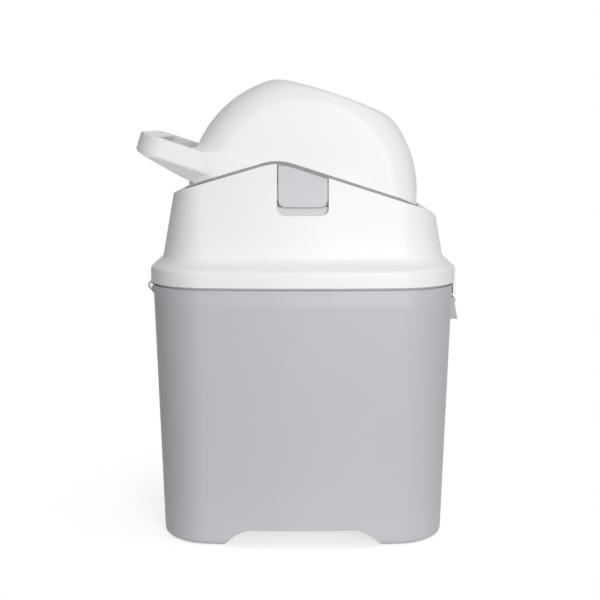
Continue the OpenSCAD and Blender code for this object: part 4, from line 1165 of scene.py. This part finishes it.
def spread(name, piece, places, turn, spin, material):
    """Sets a copy of a piece on each place and returns them as one plain mesh."""
    mesh = bpy.data.meshes.new(name)
    mesh.from_pydata([tuple(c * MM for c in place) for place in places], [], [])
    made = bpy.data.objects.new(name, mesh)
    bpy.context.scene.collection.objects.link(made)
    nodes = made.modifiers.new("copies", "NODES")
    nodes.node_group = copies
    values = {"Piece": piece, "Turn": turn, "Spin": spin, "Finish": material}
    for item in copies.interface.items_tree:
        if item.name in values:
            nodes[item.identifier] = values[item.name]
    settle(made)
    bpy.data.objects.remove(piece)
    return made


def screw(name, length):
    """A pan-head screw pointing up, with a thread and a cross recess."""
    profile = [(0, -1.6), (1.7, -1.6), (2.4, -1.5), (2.9, -1.2), (3.15, -0.75), (3.2, -0.3), (3.2, -0.05),
               (3.1, 0), (1.55, 0)]
    z = 0.6
    while z < length - 2.4:
        profile += [(1.58, z), (1.58, z + 0.15), (1.2, z + 0.5), (1.2, z + 0.65)]
        z += 1.1
    profile += [(1.5, length - 1.8), (0.5, length - 0.3), (0, length)]
    made = lathe(name, profile, zinc_steel, None, 32)
    recess = []
    for k in range(4):
        c, n = math.cos(math.radians(90 * k)), math.sin(math.radians(90 * k))
        for u, v in ((1.75, -0.32), (1.75, 0.32), (0.5, 0.5)):
            recess.append((u * c - v * n, u * n + v * c))
    floor_of = [(x * 0.45, y * 0.45) for x, y in recess]
    count = len(recess)
    points = [(x, y, -2.2) for x, y in recess] + [(x, y, -0.4) for x, y in floor_of]
    faces = [list(range(count)), list(range(count, 2 * count))] + [
        (i, (i + 1) % count, (i + 1) % count + count, i + count) for i in range(count)]
    cutter = piece_from("recess", points, faces, zinc_steel)
    upright(cutter)
    cut = made.modifiers.new("recess", "BOOLEAN")
    cut.object, cut.operation, cut.solver = cutter, "DIFFERENCE", "EXACT"
    settle(made)
    bpy.data.objects.remove(cutter)
    return made


# %% Pads and screws in place
pad_profile = [(0, 0.0), (2.4, 0.0), (2.6, 0.3), (3.0, 0.3), (3.2, 0.0), (4.4, 0.0), (4.6, 0.3), (5.0, 0.3),
               (5.2, 0.0), (6.3, 0.0),
               (6.6, 0.15), (6.7, 0.45), (6.7, 1.49), (0, 1.49)]
one_pad = lathe("pad", pad_profile, foot_rubber, None, 48)
pads = spread("foot_pad_set", one_pad, [(sx * foot_x, sy * foot_y, 0) for sx in (-1, 1) for sy in (-1, 1)],
              (0, 0, 0), 0.0, foot_rubber)
hand_over(pads, "bucket", "rubber", "foot_pads")
boss_x, boss_y = BUCKET_W / 2 + 2 - STEP - 5, BUCKET_D / 2 + 2 - STEP - LID_WALL - 5
lid_places = [(sx * boss_x, sy * 40, NECK_TOP + 2.5) for sx in (-1, 1) for sy in (-1, 1)]
lid_places += [(sx * 60, sy * boss_y, NECK_TOP + 2.5) for sx in (-1, 1) for sy in (-1, 1)]
set_of_screws = spread("lid_screw_set", screw("lid_screw", 11.5), lid_places, (0, 0, 0), math.pi / 2,
                       zinc_steel)
hand_over(set_of_screws, "lid", "steel", "lid_screws")
drum_places = [tilt @ Vector((sx * SCREW_X, 14, sz * SCREW_Z)) for sx in (-1, 1) for sz in (-1, 1)]
towards_front = (tilt @ Matrix.Rotation(math.radians(90), 4, "X")).to_euler()
set_of_screws = spread("drum_screw_set", screw("drum_screw", 24), drum_places, tuple(towards_front),
                       math.pi / 2, zinc_steel)
hand_over(set_of_screws, "drum", "steel", "drum_screws")

# %% [markdown]
# ## Solids that stay
# The liner, the seals, the guide, the pins, the bushes and the leaf spring are flat or turned parts that
# show only when the lid is open. Their solids already have the right form, so they stay and get these
# finishes.

# %% Finishes of the solids that stay
# The lock guide's darker grey is painted shade of the slot behind the button
for node, material in {"lid_liner": inner_polypropylene, "lid_gasket": wiper_rubber,
                       "drum_seal": wiper_rubber,
                       "lock_guide": guide_painted_shade_polypropylene, "pivot_pin_front": zinc_steel,
                       "pivot_pin_rear": zinc_steel,
                       "pivot_bush_front": black_acetal, "pivot_bush_rear": black_acetal,
                       "latch_spring": zinc_steel}.items():
    for place in frame["nodes"][node].material_slots:
        place.material = material
    print(node, "is shown in", material.name)

# %% [markdown]
# ## Stage
# A pale floor that fades into a white surround, a wide soft lamp in front, a little to the right, and a
# weaker one behind. The dome is brighter above and to the right, so that the left walls fall off softly.
# Camera, mirror and see-through rays meet plain white instead, and the floor glows only for them.

# %% Floor, lamps and camera
FLOOR_GLOW = 0.66
FADE_FROM, FADE_TO = 0.13, 0.34    # metres from the middle over which the floor fades out


def background_ray(tree):
    """1 for the rays that should see the white surround, 0 for those that carry light."""
    ray = add_node(tree, "ShaderNodeLightPath").outputs
    seen = add_node(tree, "ShaderNodeMath", {0: ray["Is Camera Ray"], 1: ray["Is Glossy Ray"]},
                    operation="MAXIMUM")
    both = add_node(tree, "ShaderNodeMath", {0: seen.outputs["Value"], 1: ray["Is Transmission Ray"]},
                    operation="MAXIMUM")
    return both.outputs["Value"]


floor_mesh = bpy.data.meshes.new("studio_floor")
floor_mesh.from_pydata([(-3, -3, 0), (3, -3, 0), (3, 3, 0), (-3, 3, 0)], [], [(0, 1, 2, 3)])
floor = bpy.data.objects.new("studio_floor", floor_mesh)
bpy.context.scene.collection.objects.link(floor)
floor_paint, tree, shader = new_material("studio_floor_paint")
place = add_node(tree, "ShaderNodeTexCoord").outputs["Object"]
distance = add_node(tree, "ShaderNodeVectorMath", {0: place}, operation="LENGTH")
fade = add_node(tree, "ShaderNodeMapRange",
                {"Value": distance.outputs["Value"], "From Min": FADE_FROM, "From Max": FADE_TO,
                                             "To Min": 1.0, "To Max": 0.0}, interpolation_type="SMOOTHSTEP")
shader.inputs["Base Color"].default_value = (0.62, 0.62, 0.62, 1.0)
shader.inputs["Emission Color"].default_value = (1.0, 1.0, 1.0, 1.0)
seen = background_ray(tree)
glow = add_node(tree, "ShaderNodeMath", {0: seen, 1: FLOOR_GLOW}, operation="MULTIPLY")
tree.links.new(glow.outputs["Value"], shader.inputs["Emission Strength"])
shader.inputs["Roughness"].default_value = 0.9
shader.inputs["Specular IOR Level"].default_value = 0.0
tree.links.new(fade.outputs["Result"], shader.inputs["Alpha"])
floor_mesh.materials.append(floor_paint)

world = bpy.data.worlds.new("studio")
bpy.context.scene.world = world
world.use_nodes = True
tree = world.node_tree
tree.nodes.clear()
way = add_node(tree, "ShaderNodeSeparateXYZ",
               {"Vector": add_node(tree, "ShaderNodeTexCoord").outputs["Generated"]})
across = add_node(tree, "ShaderNodeMapRange", {"Value": way.outputs["X"], "From Min": -1.0, "From Max": 0.6,
                                               "To Min": 0.0, "To Max": 0.16})
above = add_node(tree, "ShaderNodeMapRange", {"Value": way.outputs["Z"], "To Min": 0.0, "To Max": 0.46})
dome = add_node(tree, "ShaderNodeMath", {0: across.outputs["Result"], 1: above.outputs["Result"]})
level = add_node(tree, "ShaderNodeMapRange", {"Value": background_ray(tree), "To Min": dome.outputs["Value"],
                                              "To Max": 1.0})
glow = add_node(tree, "ShaderNodeBackground", {"Strength": level.outputs["Result"]})
glow.inputs["Color"].default_value = (1.0, 1.0, 1.0, 1.0)
add_node(tree, "ShaderNodeOutputWorld", {"Surface": glow.outputs["Background"]})


def lamp(name, place, aim, size, watts):
    data = bpy.data.lights.new(name, "AREA")
    data.energy, data.size = watts, size
    made = bpy.data.objects.new(name, data)
    made.location = place
    made.rotation_euler = (Vector(aim) - Vector(place)).to_track_quat("-Z", "Y").to_euler()
    bpy.context.scene.collection.objects.link(made)
    return made


lamp("front_softbox", (0.4, -2.0, 0.5), (0, 0, 0.22), 0.9, 28.2)
lamp("rear_softbox", (0, 2.4, 0.55), (0, 0, 0.22), 1.2, 16).visible_glossy = False
camera_data = bpy.data.cameras.new("camera")
camera = bpy.data.objects.new("camera", camera_data)
bpy.context.scene.collection.objects.link(camera)
camera.location = (0, -1.2, 0.381)
camera.rotation_euler = (math.radians(82), 0, 0)
camera_data.lens = 74.3
camera_data.sensor_width = 36
camera_data.shift_x = -2.8 / 600
bpy.context.scene.camera = camera
bpy.context.scene.view_settings.view_transform = "Standard"
